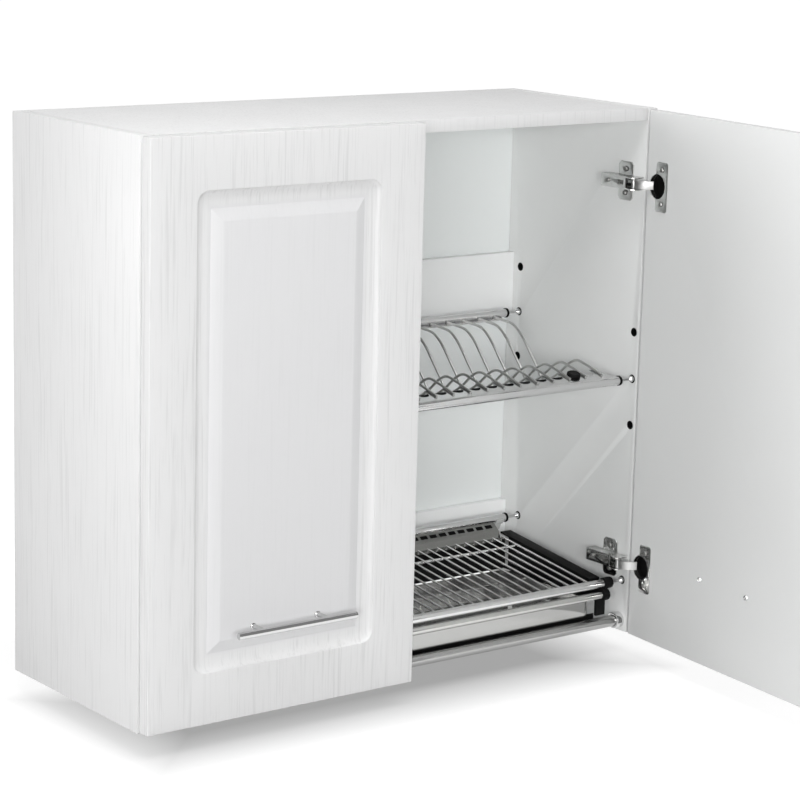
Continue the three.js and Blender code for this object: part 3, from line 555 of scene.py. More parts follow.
def metal_material(name, colour, rough_low, rough_high, stretch):
    """Plated or drawn metal: draw lines, faint patches and a slightly uneven polish."""
    material, net, place = new_material(name, 1.0)
    drawn = net.group(DRAWN, place, Stretch=stretch)
    clouds = net.group(MOTTLE, place)["Clouds"]
    dull = tinted(colour, 0.88)
    shade = net.laid_over(colour, drawn["Lines"], 0.35, dull)
    shade = net.laid_over(shade, drawn["Patches"], 0.25, dull)
    worn = net.plus(net.times(drawn["Lines"], 0.5), net.times(clouds, 0.5))
    rough = net.between(worn, rough_low, rough_high)
    return coated(material, net, shade, rough, (drawn["Lines"], 0.00002, 0.25))


def pan_material(name, colour, wall):
    """Polished pan: the floor mirrors the wires; the inner walls get a dark colour as painted shade and dark
    reflections, and the front a dimmer colour as a painted duller reflection.
    """
    material, net, place = new_material(name, 0.8)
    clouds = net.group(MOTTLE, place)["Clouds"]
    _, y, z = net.parts(place)
    floor_z = (PAN_FLOOR_Z - ORIGIN_HEIGHT) * METRE
    inside = net.ramp(y, *((PAN_FRONT_Y + start) * METRE for start in PAN_FRONT_START))
    # Painted shade: the inner walls above the floor take the dark wall colour, and the front takes 0.6 of the
    # colour as a painted reflection.
    dark = net.times(net.ramp(z, floor_z - 0.0004, floor_z + 0.0008), inside)
    shade = net.laid_over(colour, clouds, 0.2, tinted(colour, 0.9))
    shade = net.mix(dark, net.mix(inside, tinted(colour, 0.6), shade), wall)
    return coated(material, net, shade, net.between(clouds, 0.05, 0.09))


def plastic_material(name, colour, rough_low, rough_high, gloss=0.5):
    """Moulded plastic with a fine spark-eroded texture."""
    material, net, place = new_material(name)
    net.tree.nodes["Principled BSDF"].inputs["Specular IOR Level"].default_value = gloss
    clouds = net.group(MOTTLE, place)["Clouds"]
    paler = tuple(min(1.0, c * 1.35 + 0.002) for c in colour)
    shade = net.laid_over(colour, clouds, 0.5, paler)
    texture = net.noise(place, 1800.0, 2.0)
    return coated(material, net, shade, net.between(clouds, rough_low, rough_high), (texture, 0.00005, 0.4))


# How far the draw lines are stretched along each axis
DRAWN_X, ROLLED_X, DRAWN_BACK = (0.02, 1.0, 1.0), (0.015, 1.0, 1.0), (1.0, 0.02, 0.02)
BRUSHED_Z, CAST_Z = (1.0, 1.0, 0.03), (1.0, 1.0, 0.3)
METALS = {  # colour, lowest and highest roughness, draw lines
    "chrome": ((0.70, 0.70, 0.70), 0.08, 0.16, DRAWN_X),
    "wire chrome": ((0.82, 0.82, 0.815), 0.18, 0.28, DRAWN_BACK),
    "bright chrome": ((0.62, 0.62, 0.62), 0.05, 0.11, DRAWN_X),
    "satin steel": ((0.43, 0.43, 0.425), 0.18, 0.28, ROLLED_X),
    "grey wire": ((0.57, 0.57, 0.56), 0.26, 0.36, DRAWN_BACK),
    "dark nickel": ((0.30, 0.30, 0.29), 0.28, 0.40, CAST_Z),
    "brushed nickel": ((0.46, 0.46, 0.455), 0.36, 0.46, BRUSHED_Z),
    # A darker copy of the steel for the glass rack's rear sheet: painted shade.
    "steel with painted shade": ((0.30, 0.30, 0.288), 0.16, 0.26, ROLLED_X),
    "tray steel": ((0.60, 0.60, 0.585), 0.12, 0.20, ROLLED_X),
    "nickel": ((0.66, 0.66, 0.65), 0.12, 0.22, BRUSHED_Z),
    "zinc": ((0.48, 0.50, 0.52), 0.32, 0.5, CAST_Z),
}
MATERIALS = {
    **{f"door_{side}": foil_material(f"door foil {side}", 0.80, side=side) for side in SIDES},
    "board": foil_material("carcass foil", 0.84, board="top"),
    "side": foil_material("side panel foil", 0.84, board="side"),
    "inner": melamine_material("inner melamine", INSIDE_WHITE),
    "rail": melamine_material("rail melamine", RAIL_WHITE),
    # The second colour is the painted shade of the pan's inner walls.
    "pan": pan_material("polished pan", (0.74, 0.74, 0.725), (0.30, 0.30, 0.295)),
    "black": plastic_material("black plastic", (0.004, 0.004, 0.004), 0.5, 0.62, 0.08),
    "clear": plastic_material("pale plastic", (0.55, 0.56, 0.55), 0.22, 0.34),
    **{name: metal_material(name, *values) for name, values in METALS.items()},
}

# Doors


def door_matrix(side):
    """From a door's own measure, drawn as the closed right door about its axis, to the cabinet's."""
    sign = SIDES[side]
    place = Matrix.Translation((sign * DOOR_AXIS_X, DOOR_AXIS_Y, 0))
    turn = Matrix.Rotation(math.radians(sign * DOOR_OPEN[side]), 4, "Z")
    return place @ turn @ Matrix.Diagonal((sign, 1, 1, 1))


def door_loop(depth, inset, radius):
    """Loop round the door at a depth in the board, set in from its edges."""
    sizes = (DOOR_FREE + inset, DOOR_EDGE - inset, DOOR_LOW + inset, DOOR_HIGH - inset)
    return [(x, depth, z) for x, z in rounded_loop(*sizes, radius, 8)]


def door_shape():
    """Board with softened edges and, inside a cove, a raised field."""
    loops = [door_loop(DOOR_INNER - depth, inset, 0.6) for depth, inset in ((0, 0.5), (0.15, 0.15), (0.5, 0))]
    for sine, cosine in quarter_turn(5):
        loops.append(door_loop(DOOR_OUTER + DOOR_ROUNDING * (1 - sine), DOOR_ROUNDING * (1 - cosine), 1.0))
    for before, depth in ((1.6, 0), (0.8, 0.12)):
        loops.append(door_loop(DOOR_OUTER + depth, PANEL_INSET - before, PANEL_RADIUS + before))
    for sine, cosine in quarter_turn(10):
        run = PANEL_COVE * (1 - cosine)
        fall = PANEL_STEP + (PANEL_DEPTH - PANEL_STEP) * sine
        loops.append(door_loop(DOOR_OUTER + fall, PANEL_INSET + run, PANEL_RADIUS - run))
    for inset, depth in (
        (0, PANEL_DEPTH), (1.2, PANEL_DEPTH - 0.5), (PANEL_BEVEL - 1.0, PANEL_SINK + 0.15),
        (PANEL_BEVEL, PANEL_SINK),
    ):
        loops.append(door_loop(DOOR_OUTER + depth, PANEL_FOOT + inset, 1.0))
    return stacked(loops)


def make_door(side):
    """Door with the two cup bores cut into its inner face."""
    matrix = door_matrix(side)
    obj = piece(f"door_panel_{side}", door_shape().moved(matrix), f"door_{side}", 16)
    bores = Shape([], [])
    bore = [(CUP_RADIUS + 0.1, DOOR_INNER - CUP_DEPTH - 0.4), (CUP_RADIUS + 0.1, DOOR_INNER + 4)]
    for z in HINGE_HEIGHTS.values():
        bores.join(turned(bore, (CUP_CENTRE, 0, z), "y", 48))
    cutter = piece(f"bore_cutter_{side}", bores.moved(matrix), "inner")
    modified(obj, "cup bores", "BOOLEAN", operation="DIFFERENCE", solver="EXACT", object=cutter)
    bpy.data.objects.remove(cutter)
    clean_mesh(obj.data, 17)
    settle(obj, f"door_{side}", "door_foil", f"door_{side}")


def make_cup_shades(side):
    """Black linings in the wells of a door's hinge cups, which paint the deep shade inside them."""
    low, high, radius = DOOR_INNER - CUP_DEPTH + CUP_WALL, DOOR_INNER - 6.0, CUP_RADIUS - CUP_WALL
    bore, floor = radius - 0.3, low + 0.3
    profile = [(radius, low), (radius, high), (bore, high), (bore, floor)]
    profile = [(0.01, low), *profile, (0.01, floor), (0.01, low)]
    for place, z in HINGE_HEIGHTS.items():
        painted_cup_shade = turned(profile, (CUP_CENTRE, 0, z), "y", 48)
        obj = piece(f"cup_shade_{place}_{side}", painted_cup_shade.moved(door_matrix(side)), "black")
        settle(obj, f"door_{side}", "black_plastic")


def make_handle(side):
    """Bar on two posts, with a small collar where each post meets the door."""
    foot = DOOR_OUTER + PANEL_SINK - FIT_GAP
    post = [(POST_RADIUS, HANDLE_Y + 1), (POST_RADIUS, foot - 2.2)]
    post += [(COLLAR_RADIUS, foot - 1.6), (COLLAR_RADIUS, foot)]
    ends = (DOOR_MIDDLE - HANDLE_HALF, DOOR_MIDDLE + HANDLE_HALF)
    shape = rod(HANDLE_RADIUS, *ends, HANDLE_Y, HANDLE_Z, 32, 0.8)
    for way in (-1, 1):
        shape.join(turned(post, (DOOR_MIDDLE + way * POST_HALF, 0, HANDLE_Z), "y", 24))
    obj = piece(f"bar_handle_{side}", shape.moved(door_matrix(side)), "bright chrome")
    settle(obj, f"door_{side}", "chrome", f"handle_{side}")


# Wires


def wire_row_tree():
    """Row of alike bent wires: sweeps a round section along the given path and repeats it along X."""
    net, given, result = new_tree(
        "wire row", "Geometry", [
            ("Path", "Geometry", None), ("Wire Radius", "Float", 0.0018), ("Pitch", "Float", 0.028),
            ("Wires", "Int", 25), ("Points", "Int", 40), ("Finish", "Material", None),
        ], [("Wires Out", "Geometry")],
    )
    path = net.out("GeometryNodeMeshToCurve", {0: given["Path"]})
    curve = net.out("GeometryNodeCurveSplineType", {"Curve": path}, spline_type="CATMULL_ROM")
    even = net.out("GeometryNodeResampleCurve", {"Curve": curve, "Count": given["Points"]})
    circle = net.out("GeometryNodeCurvePrimitiveCircle", {"Resolution": 10, "Radius": given["Wire Radius"]})
    wire = net.out("GeometryNodeCurveToMesh", {"Curve": even, "Profile Curve": circle, "Fill Caps": True})
    reach = net.times(net.minus(given["Wires"], 1.0), given["Pitch"])
    start, offset = net.joined(net.times(reach, -0.5)), net.joined(given["Pitch"])
    inputs = {"Count": given["Wires"], "Start Location": start, "Offset": offset}
    places = net.out("GeometryNodeMeshLine", inputs)
    row = net.out("GeometryNodeInstanceOnPoints", {"Points": places, "Instance": wire})
    real = net.out("GeometryNodeRealizeInstances", {0: row})
    smooth = net.out("GeometryNodeSetShadeSmooth", {"Geometry": real})
    net.put(result[0], net.out("GeometryNodeSetMaterial", {"Geometry": smooth, "Material": given["Finish"]}))
    return net.tree


def run_tree(obj, tree, values):
    """Runs a geometry tree on an object with the given inputs and keeps the plain mesh."""
    modifier = obj.modifiers.new(tree.name, "NODES")
    modifier.node_group = tree
    for item in tree.interface.items_tree:
        if item.in_out == "INPUT" and item.name in values:
            modifier[item.identifier] = values[item.name]
    applied(obj)


WIRE_ROW = wire_row_tree()


def wire_row(name, path, radius, pitch, wires, points, finish):
    """One row of wires from a path of (y, z) points in the plane x = 0."""
    mesh = bpy.data.meshes.new(name)
    mesh.from_pydata([to_frame((0, y, z)) for y, z in path], [(i, i + 1) for i in range(len(path) - 1)], [])
    obj = link_mesh(name, mesh, finish)
    run_tree(obj, WIRE_ROW, {
        "Wire Radius": radius * METRE, "Pitch": pitch * METRE, "Wires": wires, "Points": points,
        "Finish": MATERIALS[finish],
    })
    clean_mesh(obj.data, 50)
    return obj


# Plate rack

WEB_RISE = 5.2
WEB_SHEET = 1.2
WEB_HALF = 352.0
WEB_SLANT = 11
PLATE_PITCH = 28.0
PLATE_COUNT = 25
PLATE_WIRE = 1.8
FRONT_SLOPE = 14.0
FRONT_LENGTH = 28.0
REAR_SLOPE = -3.0
REAR_LENGTH = 16.0
NOTCH_FOOT = 18.0
NOTCH_HALF = 8.5
NOTCH_ROUND = 6
PLATE_WIRE_SHARES = [  # bend of a plate wire as shares of the rack's depth and rise
    (0.165, 0.89), (0.215, 0.81), (0.262, 0.66), (0.308, 0.46), (0.358, 0.21), (0.41, -0.04), (0.446, -0.25),
    (0.482, -0.36), (0.525, -0.3), (0.608, -0.06), (0.69, 0.24), (0.757, 0.37), (0.833, 0.315),
]


def web_point(tube, slope, along, over):
    """Point (y, z) over a plate rack web; the front web runs back from its tube, the rear web forward."""
    run = 1 if tube == PLATE_FRONT else -1
    tilt = math.radians(slope)
    return (
        tube[0] + run * (math.cos(tilt) * along - math.sin(tilt) * over),
        tube[1] + WEB_RISE * run + math.sin(tilt) * along + math.cos(tilt) * over,
    )


def front_web_outline():
    """Front web as (x, along): slanted ends and a round-bottomed notch between each two wires."""
    points = [(-WEB_HALF, 0.0), (WEB_HALF, 0.0), (WEB_HALF - WEB_SLANT, FRONT_LENGTH)]
    steps = 8
    for i in reversed(range(PLATE_COUNT - 1)):
        x = (i - PLATE_COUNT / 2 + 1) * PLATE_PITCH
        points.append((x + NOTCH_HALF, FRONT_LENGTH))
        for k in range(steps + 1):
            t = math.radians(180 * k / steps)
            points.append((x + NOTCH_HALF * math.cos(t), NOTCH_FOOT - NOTCH_ROUND * math.sin(t)))
        points.append((x - NOTCH_HALF, FRONT_LENGTH))
    points.append((WEB_SLANT - WEB_HALF, FRONT_LENGTH))
    return points


def web_sheet(tube, slope, outline):
    """Sheet of even thickness over an outline on a web."""
    return stacked([
        [(x, *web_point(tube, slope, along, over)) for x, along in outline]
        for over in (WEB_SHEET / 2, -WEB_SHEET / 2)
    ])


def rack_tube(tube):
    return pipe(TUBE_RADIUS, TUBE_INNER, TUBE_HALF, *tube, 48)


def make_plate_rack():
    """Bent wires over two tubes with webs, and the black comb in front."""
    lift = WEB_SHEET / 2 + PLATE_WIRE - 0.8
    depth = PLATE_FRONT[0] - PLATE_REAR[0]
    rise = PLATE_REAR[1] - PLATE_FRONT[1]
    path = [web_point(PLATE_REAR, REAR_SLOPE, along, lift) for along in (2.5, 9, 13.5)]
    path += [(PLATE_REAR[0] + a * depth, PLATE_FRONT[1] + b * rise) for a, b in PLATE_WIRE_SHARES]
    front_end = ((24, lift + 0.3), (17, lift), (8, lift))
    path += [web_point(PLATE_FRONT, FRONT_SLOPE, along, over) for along, over in front_end]
    wires = wire_row("plate_wires", path, PLATE_WIRE, PLATE_PITCH, PLATE_COUNT, 64, "grey wire")
    settle(wires, "root", "chrome", "plate_rack")
    end = WEB_HALF - WEB_SLANT
    rear_web_outline = [(-WEB_HALF, 0), (WEB_HALF, 0), (end, REAR_LENGTH), (-end, REAR_LENGTH)]
    for name, tube, slope, outline in (
        ("front", PLATE_FRONT, FRONT_SLOPE, front_web_outline()),
        ("rear", PLATE_REAR, REAR_SLOPE, rear_web_outline),
    ):
        rail = rack_tube(tube).join(web_sheet(tube, slope, outline))
        settle(piece(f"plate_rack_{name}_rail", rail, "chrome", 40), "root", "chrome", "plate_rack")
    settle(dressed("comb_strip", "comb", "black", 0.4), "root", "black_plastic", "comb_strip")


# Glass rack

GLASS_PITCH = 16.5
GLASS_COUNT = 41
GLASS_WIRE = 1.5
GLASS_HALF = 335.0
GLASS_SLOT_ROW = 1
GLASS_SLOT_HALF = 6.0
GLASS_FOLD = [
    (-64.2, 110.9), (-67.6, 108.4), (-72.5, 104.8), (-76.0, 102.2), (-77.2, 101.0),
    (-77.7, 99.6), (-80.3, 93.4), (-81.1, 92.2), (-82.6, 91.6), (-92.5, 91.0),
]
GLASS_WIRE_REAR = [(-90, 91.6), (-90, 93.2), (-90.5, 94.7), (-91.7, 95.7), (-93.4, 96.0)]
GLASS_WIRE_MIDDLE = [(y, 96 + 0.12128 * (y + 93.2)) for y in (-120, -160, -200, -240)]
GLASS_WIRE_FRONT = [(8, 74.2), (3, 73.5), (-0.6, 72.4)]  # behind the front tube
# Black strips as (y, z) corners, put where there is only shade: one behind the slots of the rear sheet and
# one below the sheet's lip. Both are painted shade.
GLASS_STRIPS = {
    "slot_shade_strip": ((-65.3, 108.5), (-71.8, 103.8), (-71.4, 103.2), (-64.9, 107.9)),
    "shade_apron": ((-93.4, 90.6), (-96.0, 51.6), (-95.5, 51.6), (-92.9, 90.6)),
}
CROSS_BAR = (-122.0, 89.8)
CROSS_BAR_RADIUS = 2.0
CROSS_BAR_HALF = 350


def glass_rear_sheet():
    """Folded sheet of the rear rail as a surface with a row of slots, thickened afterwards."""
    columns = [-GLASS_HALF]
    for i in range(GLASS_COUNT - 1):
        x = (i - GLASS_COUNT / 2 + 1) * GLASS_PITCH
        columns += [x - GLASS_SLOT_HALF, x + GLASS_SLOT_HALF]
    columns.append(GLASS_HALF)
    count = len(columns)
    faces = []
    for r in range(len(GLASS_FOLD) - 1):
        for c in range(count - 1):
            if r != GLASS_SLOT_ROW or c % 2 == 0:
                first, above = r * count + c, (r + 1) * count + c
                faces.append([first, first + 1, above + 1, above])
    return Shape([(x, y, z) for y, z in GLASS_FOLD for x in columns], faces)


def make_glass_rack():
    """Straight wires over two tubes and a cross bar, with the slotted sheet of the rear rail."""
    tube_face = GLASS_FRONT[0] + TUBE_RADIUS
    front = [(tube_face + behind, z) for behind, z in GLASS_WIRE_FRONT]
    path = GLASS_WIRE_REAR + GLASS_WIRE_MIDDLE + front
    wires = wire_row("glass_wires", path, GLASS_WIRE, GLASS_PITCH, GLASS_COUNT, 34, "wire chrome")
    settle(wires, "root", "chrome", "glass_rack")
    bar = rod(CROSS_BAR_RADIUS, -CROSS_BAR_HALF, CROSS_BAR_HALF, *CROSS_BAR, 16)
    rails = rack_tube(GLASS_FRONT).join(rack_tube(GLASS_REAR)).join(bar)
    settle(piece("glass_rack_tubes", rails, "chrome", 40), "root", "chrome", "glass_rack")
    sheet = thickened("glass_rack_rear_sheet", glass_rear_sheet(), WEB_SHEET, "steel with painted shade", 30)
    settle(sheet, "root", "chrome", "glass_rack")
    # Painted shade: black strips behind the slots and below the rear sheet.
    for name, section in GLASS_STRIPS.items():
        strip = bar_along_x(GLASS_HALF - 1, section)
        settle(piece(f"glass_rack_{name}", strip, "black"), "root", "black_plastic")


# Tube ends: pairs of radius and distance from the side panel, the tube's end or the socket's mouth

PIN_IN_CAP = 20
PIN_FOOT = ((1.6, 0), (2.0, 0.4))
PIN_HEAD = ((2.0, -5.5), (2.8, -4.6), (3.9, -3.4), (4.3, -2.6), (4.3, 7.5), (3.8, 8))
CAP = (
    (2.3, -6.3), (4.7, -6.3), (4.7, 0), (6.8, 0), (6.8, 2.4), (6.4, 3.3), (5.4, CAP_FLANGE),
    (2.3, CAP_FLANGE), (2.3, -6.3),
)
SOCKET_LENGTH = 12
SOCKET_FLOOR = 2
SOCKET = (
    (8.3, 0), (9.6, 0), (10.6, 0.5), (11.0, 1.5), (11.0, SOCKET_LENGTH), (0.01, SOCKET_LENGTH),
    (0.01, 10), (8.3, 10), (8.3, 0),
)


def make_hole_shades(side, used):
    """Black sleeves in the bored holes, which paint the shade inside them: open cups in the spare ones, rings
    round the pins in the others.
    """
    holes = [(y, z, True) for y, z in used]
    for y, z in (PLATE_FRONT, PLATE_REAR):
        holes += [(y, z - HOLE_STEP, False), (y, z + HOLE_STEP, False)]
    shape = Shape([], [])
    rim, hole, end = HOLE_RADIUS + 0.9, HOLE_RADIUS - 0.1, HOLE_DEPTH - 0.2
    for y, z, taken in holes:
        bore = 4.4 if taken else hole - 0.3
        ring = [(bore, -0.2), (rim - 0.3, -0.35), (rim, -0.05), (hole, 0.05), (hole, end)]
        ring += [(bore, end)] if taken else [(0.01, end), (0.01, end - 0.6), (bore, end - 0.6)]
        shape.join(turned(profile_from(INNER_X, [*ring, ring[0]]), (0, y, z)))
    settle(piece(f"hole_shades_{side}", shape.on_side(SIDES[side]), "black"), "root", "black_plastic")


def make_tube_ends():
    """Caps and telescopic wall pins of both racks, and the tie tube with its sockets."""
    spots = {
        "plate_front": PLATE_FRONT, "plate_rear": PLATE_REAR,
        "glass_front": GLASS_FRONT, "glass_rear": GLASS_REAR,
    }
    wall = INNER_X - FIT_GAP
    mouth = wall - SOCKET_LENGTH
    pin = profile_from(TUBE_END + CAP_FLANGE - PIN_IN_CAP, PIN_FOOT) + profile_from(wall, PIN_HEAD)
    for side, sign in SIDES.items():
        for name, (y, z) in spots.items():
            obj = piece(f"wall_pin_{name}_{side}", turned(pin, (0, y, z)).on_side(sign), "bright chrome")
            settle(obj, "root", "chrome", f"{name}_pin_{side}")
            if name != "glass_front":
                cap = turned(profile_from(TUBE_END, CAP), (0, y, z), "x", 40)
                obj = piece(f"tube_cap_{name}_{side}", cap.on_side(sign), "black")
                settle(obj, "root", "black_plastic", f"{name}_cap_{side}")
        make_hole_shades(side, spots.values())
        socket = turned(profile_from(mouth, SOCKET), (0, *TIE_TUBE), "x", 48)
        obj = piece(f"tie_socket_{side}", socket.on_side(sign), "chrome")
        settle(obj, "root", "chrome", f"tie_tube_socket_{side}")
    tie = pipe(8.0, 6.8, wall - SOCKET_FLOOR - FIT_GAP, *TIE_TUBE, 48)
    settle(piece("tie_rail", tie, "satin steel"), "root", "chrome", "tie_tube")


# Drip tray

TRAY_HALF = 330.0
TRAY_REAR = -98.0
TRAY_LOW = 27.5
TRAY_TOP = 50.8
TRAY_CORNER = 11.5
TRAY_ROUNDING = 4.5
BEAD = (-289.5, 57.0)
BEAD_RADIUS = 5.5
BEAD_HALF = 352.0
RIM_OUTER = 351.0
RIM_FRONT = -268
RIM_REAR = TRAY_REAR - 12
RIM_LOW = 49.8
LIP_HALF = TRAY_HALF - 12
LIP_LOW, LIP_TOP = 50.0, 54.0
# A black strip below the pan's front, standing in for the deep shade under the pan: painted shade.
SHADE_STRIP_HALF = 346.0
SHADE_STRIP_Y = -274.0
SHADE_STRIP_LOW = 10.0


def make_tray():
    """Pan with rounded floor edges, side rims, a rolled front edge and a black strip below it that paints the
    deep shade under the pan.
    """
    def loop(z, inset):
        sizes = (-TRAY_HALF + inset, TRAY_HALF - inset, PAN_FRONT_Y + inset, TRAY_REAR - inset)
        return [(x, y, z) for x, y in rounded_loop(*sizes, TRAY_CORNER + 0.5 - inset, 6)]

    bend = TRAY_LOW + 5
    loops = [loop(TRAY_TOP - 0.5, 0.5), loop(bend, 0.5)]
    for sine, cosine in quarter_turn(4, 1):
        loops.append(loop(bend - TRAY_ROUNDING * sine, 0.5 + TRAY_ROUNDING * (1 - cosine)))
    pan = thickened("tray_pan", stacked(loops, first_cap=False), 1.0, "pan", 40)
    settle(pan, "root", "stainless", "drip_tray")
    trim = pipe(BEAD_RADIUS, BEAD_RADIUS - 1, BEAD_HALF, *BEAD, 40)
    trim.join(block((-LIP_HALF, PAN_FRONT_Y, LIP_LOW), (LIP_HALF, PAN_FRONT_Y + 1, LIP_TOP)))
    for way in (-1, 1):
        left, right = sorted((way * (TRAY_HALF - 0.5), way * RIM_OUTER))
        trim.join(block((left, RIM_FRONT, RIM_LOW), (right, RIM_REAR, TRAY_TOP)))
    settle(piece("tray_rim", trim, "tray steel", 40), "root", "stainless", "drip_tray")
    # Painted shade: a black strip where there is only the shade under the pan.
    high = (SHADE_STRIP_HALF, SHADE_STRIP_Y + 1.0, TRAY_LOW - 0.4)
    under = block((-SHADE_STRIP_HALF, SHADE_STRIP_Y, SHADE_STRIP_LOW), high)
    settle(piece("tray_shade_strip", under, "black"), "root", "black_plastic")


# Screws


def screw_tree():
    """Pan heads with a cross recess, one on each given point, along the point's own axis."""
    net, given, result = new_tree(
        "screw heads", "Geometry", [
            ("Places", "Geometry", None), ("Head Radius", "Float", 0.0035), ("Head Height", "Float", 0.0016),
            ("Recess Width", "Float", 0.0009), ("Finish", "Material", None),
        ], [("Heads", "Geometry")],
    )
    radius, height, width = given["Head Radius"], given["Head Height"], given["Recess Width"]
    cone = {"Vertices": 20, "Radius Bottom": radius, "Radius Top": net.times(radius, 0.72), "Depth": height}
    head = net.out("GeometryNodeMeshCone", cone)
    cut = net.add("GeometryNodeMeshBoolean", {"Mesh 1": head}, operation="DIFFERENCE", solver="EXACT")
    length = net.times(radius, 1.05)
    up = net.joined(0.0, 0.0, height)
    for x, y in ((length, width), (width, length)):
        bar = net.out("GeometryNodeMeshCube", {"Size": net.joined(x, y, height)})
        lifted = net.out("GeometryNodeTransform", {"Geometry": bar, "Translation": up})
        net.put(cut.inputs["Mesh 2"], lifted)
    axis = net.out("GeometryNodeInputNamedAttribute", {"Name": "axis"}, data_type="FLOAT_VECTOR")
    aim = net.out("FunctionNodeAlignRotationToVector", {"Vector": axis}, axis="Z")
    inputs = {"Points": given["Places"], "Instance": cut.outputs[0], "Rotation": aim}
    real = net.out("GeometryNodeRealizeInstances", {0: net.out("GeometryNodeInstanceOnPoints", inputs)})
    net.put(result[0], net.out("GeometryNodeSetMaterial", {"Geometry": real, "Material": given["Finish"]}))
    return net.tree


SCREWS = screw_tree()
SCREW_SIZES = {"plate": (3.6, 2.0), "arm": (2.8, 2.4), "flange": (3.4, 1.2), "handle": (3.8, 1.8)}


def screw_heads(kind, side, slot, finish, spots):
    """Screw heads of one kind at (place, axis) pairs, on the door of a side or on the carcass."""
    radius, height = SCREW_SIZES[kind]
    name = f"{kind}_screws_{side}" if side else f"{kind}_screws"
    mesh = bpy.data.meshes.new(name)
    mesh.from_pydata([to_frame(p) for p, _ in spots], [], [])
    axes = mesh.attributes.new("axis", "FLOAT_VECTOR", "POINT")
    for item, (_, axis) in zip(axes.data, spots):
        item.vector = axis
    obj = link_mesh(name, mesh, finish)
    run_tree(obj, SCREWS, {
        "Head Radius": radius * METRE, "Head Height": height * METRE, "Recess Width": 0.25 * radius * METRE,
        "Finish": MATERIALS[finish],
    })
    clean_mesh(obj.data, 35)
    settle(obj, f"door_{side}" if side else "root", slot)


def make_screws():
    """Screws of the mounting plates, hinge arms, cup flanges and handles."""
    front = -CABINET_DEPTH
    plate_spots, arm_spots = [], []
    for sign in SIDES.values():
        inward = (-sign, 0, 0)
        for z in HINGE_HEIGHTS.values():
            for way in (-1, 1):
                place = (sign * (INNER_X - PLATE_HEIGHT), front + PLATE_SETBACK, z + way * PLATE_SCREW_HALF)
                plate_spots.append((place, inward))
            arm_spots += [((sign * (INNER_X - off), front + back, z), inward) for back, off in ARM_SCREWS]
    screw_heads("plate", "", "nickel", "dark nickel", plate_spots)
    screw_heads("arm", "", "nickel", "dark nickel", arm_spots)
    flange_place = (CUP_CENTRE - FLANGE_OFFSET, DOOR_INNER + FLANGE_SHEET + 0.4)
    flange = [(*flange_place, z + way * FLANGE_SCREW_HALF) for z in HINGE_HEIGHTS.values() for way in (-1, 1)]
    inner = [(DOOR_MIDDLE + way * POST_HALF, DOOR_INNER + 0.9, HANDLE_Z) for way in (-1, 1)]
    for side in SIDES:
        matrix = door_matrix(side)
        inward = tuple(matrix.to_3x3() @ Vector((0, 1, 0)))
        for kind, slot, finish, spots in (
            ("flange", "nickel", "dark nickel", flange), ("handle", "chrome", "bright chrome", inner),
        ):
            places = [(tuple(matrix @ Vector(spot)), inward) for spot in spots]
            screw_heads(kind, side, slot, finish, places)


# Everything that keeps its node's shape

PLAIN_PIECES = [  # nodes, finish, slot and width of the softened edges
    (["top_panel"], "board", "white_board", 0.5),
    (["side_panel_left", "side_panel_right"], "side", "white_board", 0.5),
    (["back_panel"], "inner", "inner_board", 0.3),
    (["upper_back_rail", "lower_back_rail"], "rail", "inner_board", 0.3),
    (["hanging_bracket_left", "hanging_bracket_right"], "zinc", "zinc", 0.3),
    (["side_frame_left", "side_frame_right"], "black", "black_plastic", 0.5),
    (["rear_clip_left", "rear_clip_right"], "clear", "grey_plastic", 0.4),
]
HINGE_PIECES = [  # kind, body without its side, finish and width of the softened edges
    ("cup", "door", "nickel", 0.25), ("plate", "root", "nickel", 0.3), ("arm", "root", "nickel", 0.3),
    ("outer_link", "outer_links", "brushed nickel", 0.25),
    ("inner_link", "inner_links", "brushed nickel", 0.25),
]


def make_plain_pieces():
    """Copies of the plain nodes with softened edges."""
    for nodes, finish, slot, bevel in PLAIN_PIECES:
        for node in nodes:
            settle(dressed(node, f"{node}_finished", finish, bevel), "root", slot, node)
    for side in SIDES:
        for place in HINGE_HEIGHTS:
            for kind, body, finish, bevel in HINGE_PIECES:
                node = f"hinge_{kind}_{place}_{side}"
                obj = dressed(node, f"{node}_finished", finish, bevel)
                settle(obj, body if body == "root" else f"{body}_{side}", "nickel", node)


for door_side in SIDES:
    make_door(door_side)
    make_cup_shades(door_side)
    make_handle(door_side)
make_plate_rack()
make_glass_rack()
make_tube_ends()
make_tray()
make_screws()
make_plain_pieces()

# Camera, light and floor, in metres

CAMERA_PLACE = (-2.004212, -2.914746, 1.056291 - ORIGIN_HEIGHT * METRE)
CAMERA_YAW = math.radians(37.247)
CAMERA_PITCH = math.radians(-11.817)
CAMERA_ROLL = math.radians(1.436)
FOCAL_PIXELS = 2668.2
FRAME_PIXELS = 800.0
SENSOR = 36.0

WHITE = (1, 1, 1)
WORLD_LEVEL = 0.11
ROOM_SHADE = 0.3
FLOOR_GAP = 0.030
FLOOR_HALF = 30.0
FLOOR_COLOUR = 0.5
FLOOR_COLOUR_SEEN = 0.3
FLOOR_GLOW_NEAR = 0.76
FLOOR_GLOW_FAR = 1.0
# A painted shadow under the cabinet: the left, right and front edges of its patch, the width of its soft rim
# and its darkest level.
SHADOW_LEFT, SHADOW_RIGHT, SHADOW_FRONT = 0.44, 0.42, 0.40
SHADOW_SOFT = 0.14
SHADOW_LEVEL = 0.42
LAMPS = [  # name, place, target, width, height and power
    ("front lamp", (-2.35, -3.6, 0.2), (0, -0.2, -0.4), 2.6, 0.9, 113),
    ("high front lamp", (-0.3, -1.3, 2.5), (0, -0.25, -0.2), 3.0, 1.8, 68),
    ("ceiling lamp", (0.0, 0.9, 2.6), (0, 0.0, -0.3), 2.4, 2.4, 17),
    ("side lamp", (-4.2, 1.6, 0.2), (-0.4, -0.15, -0.35), 2.6, 2.6, 93),
]


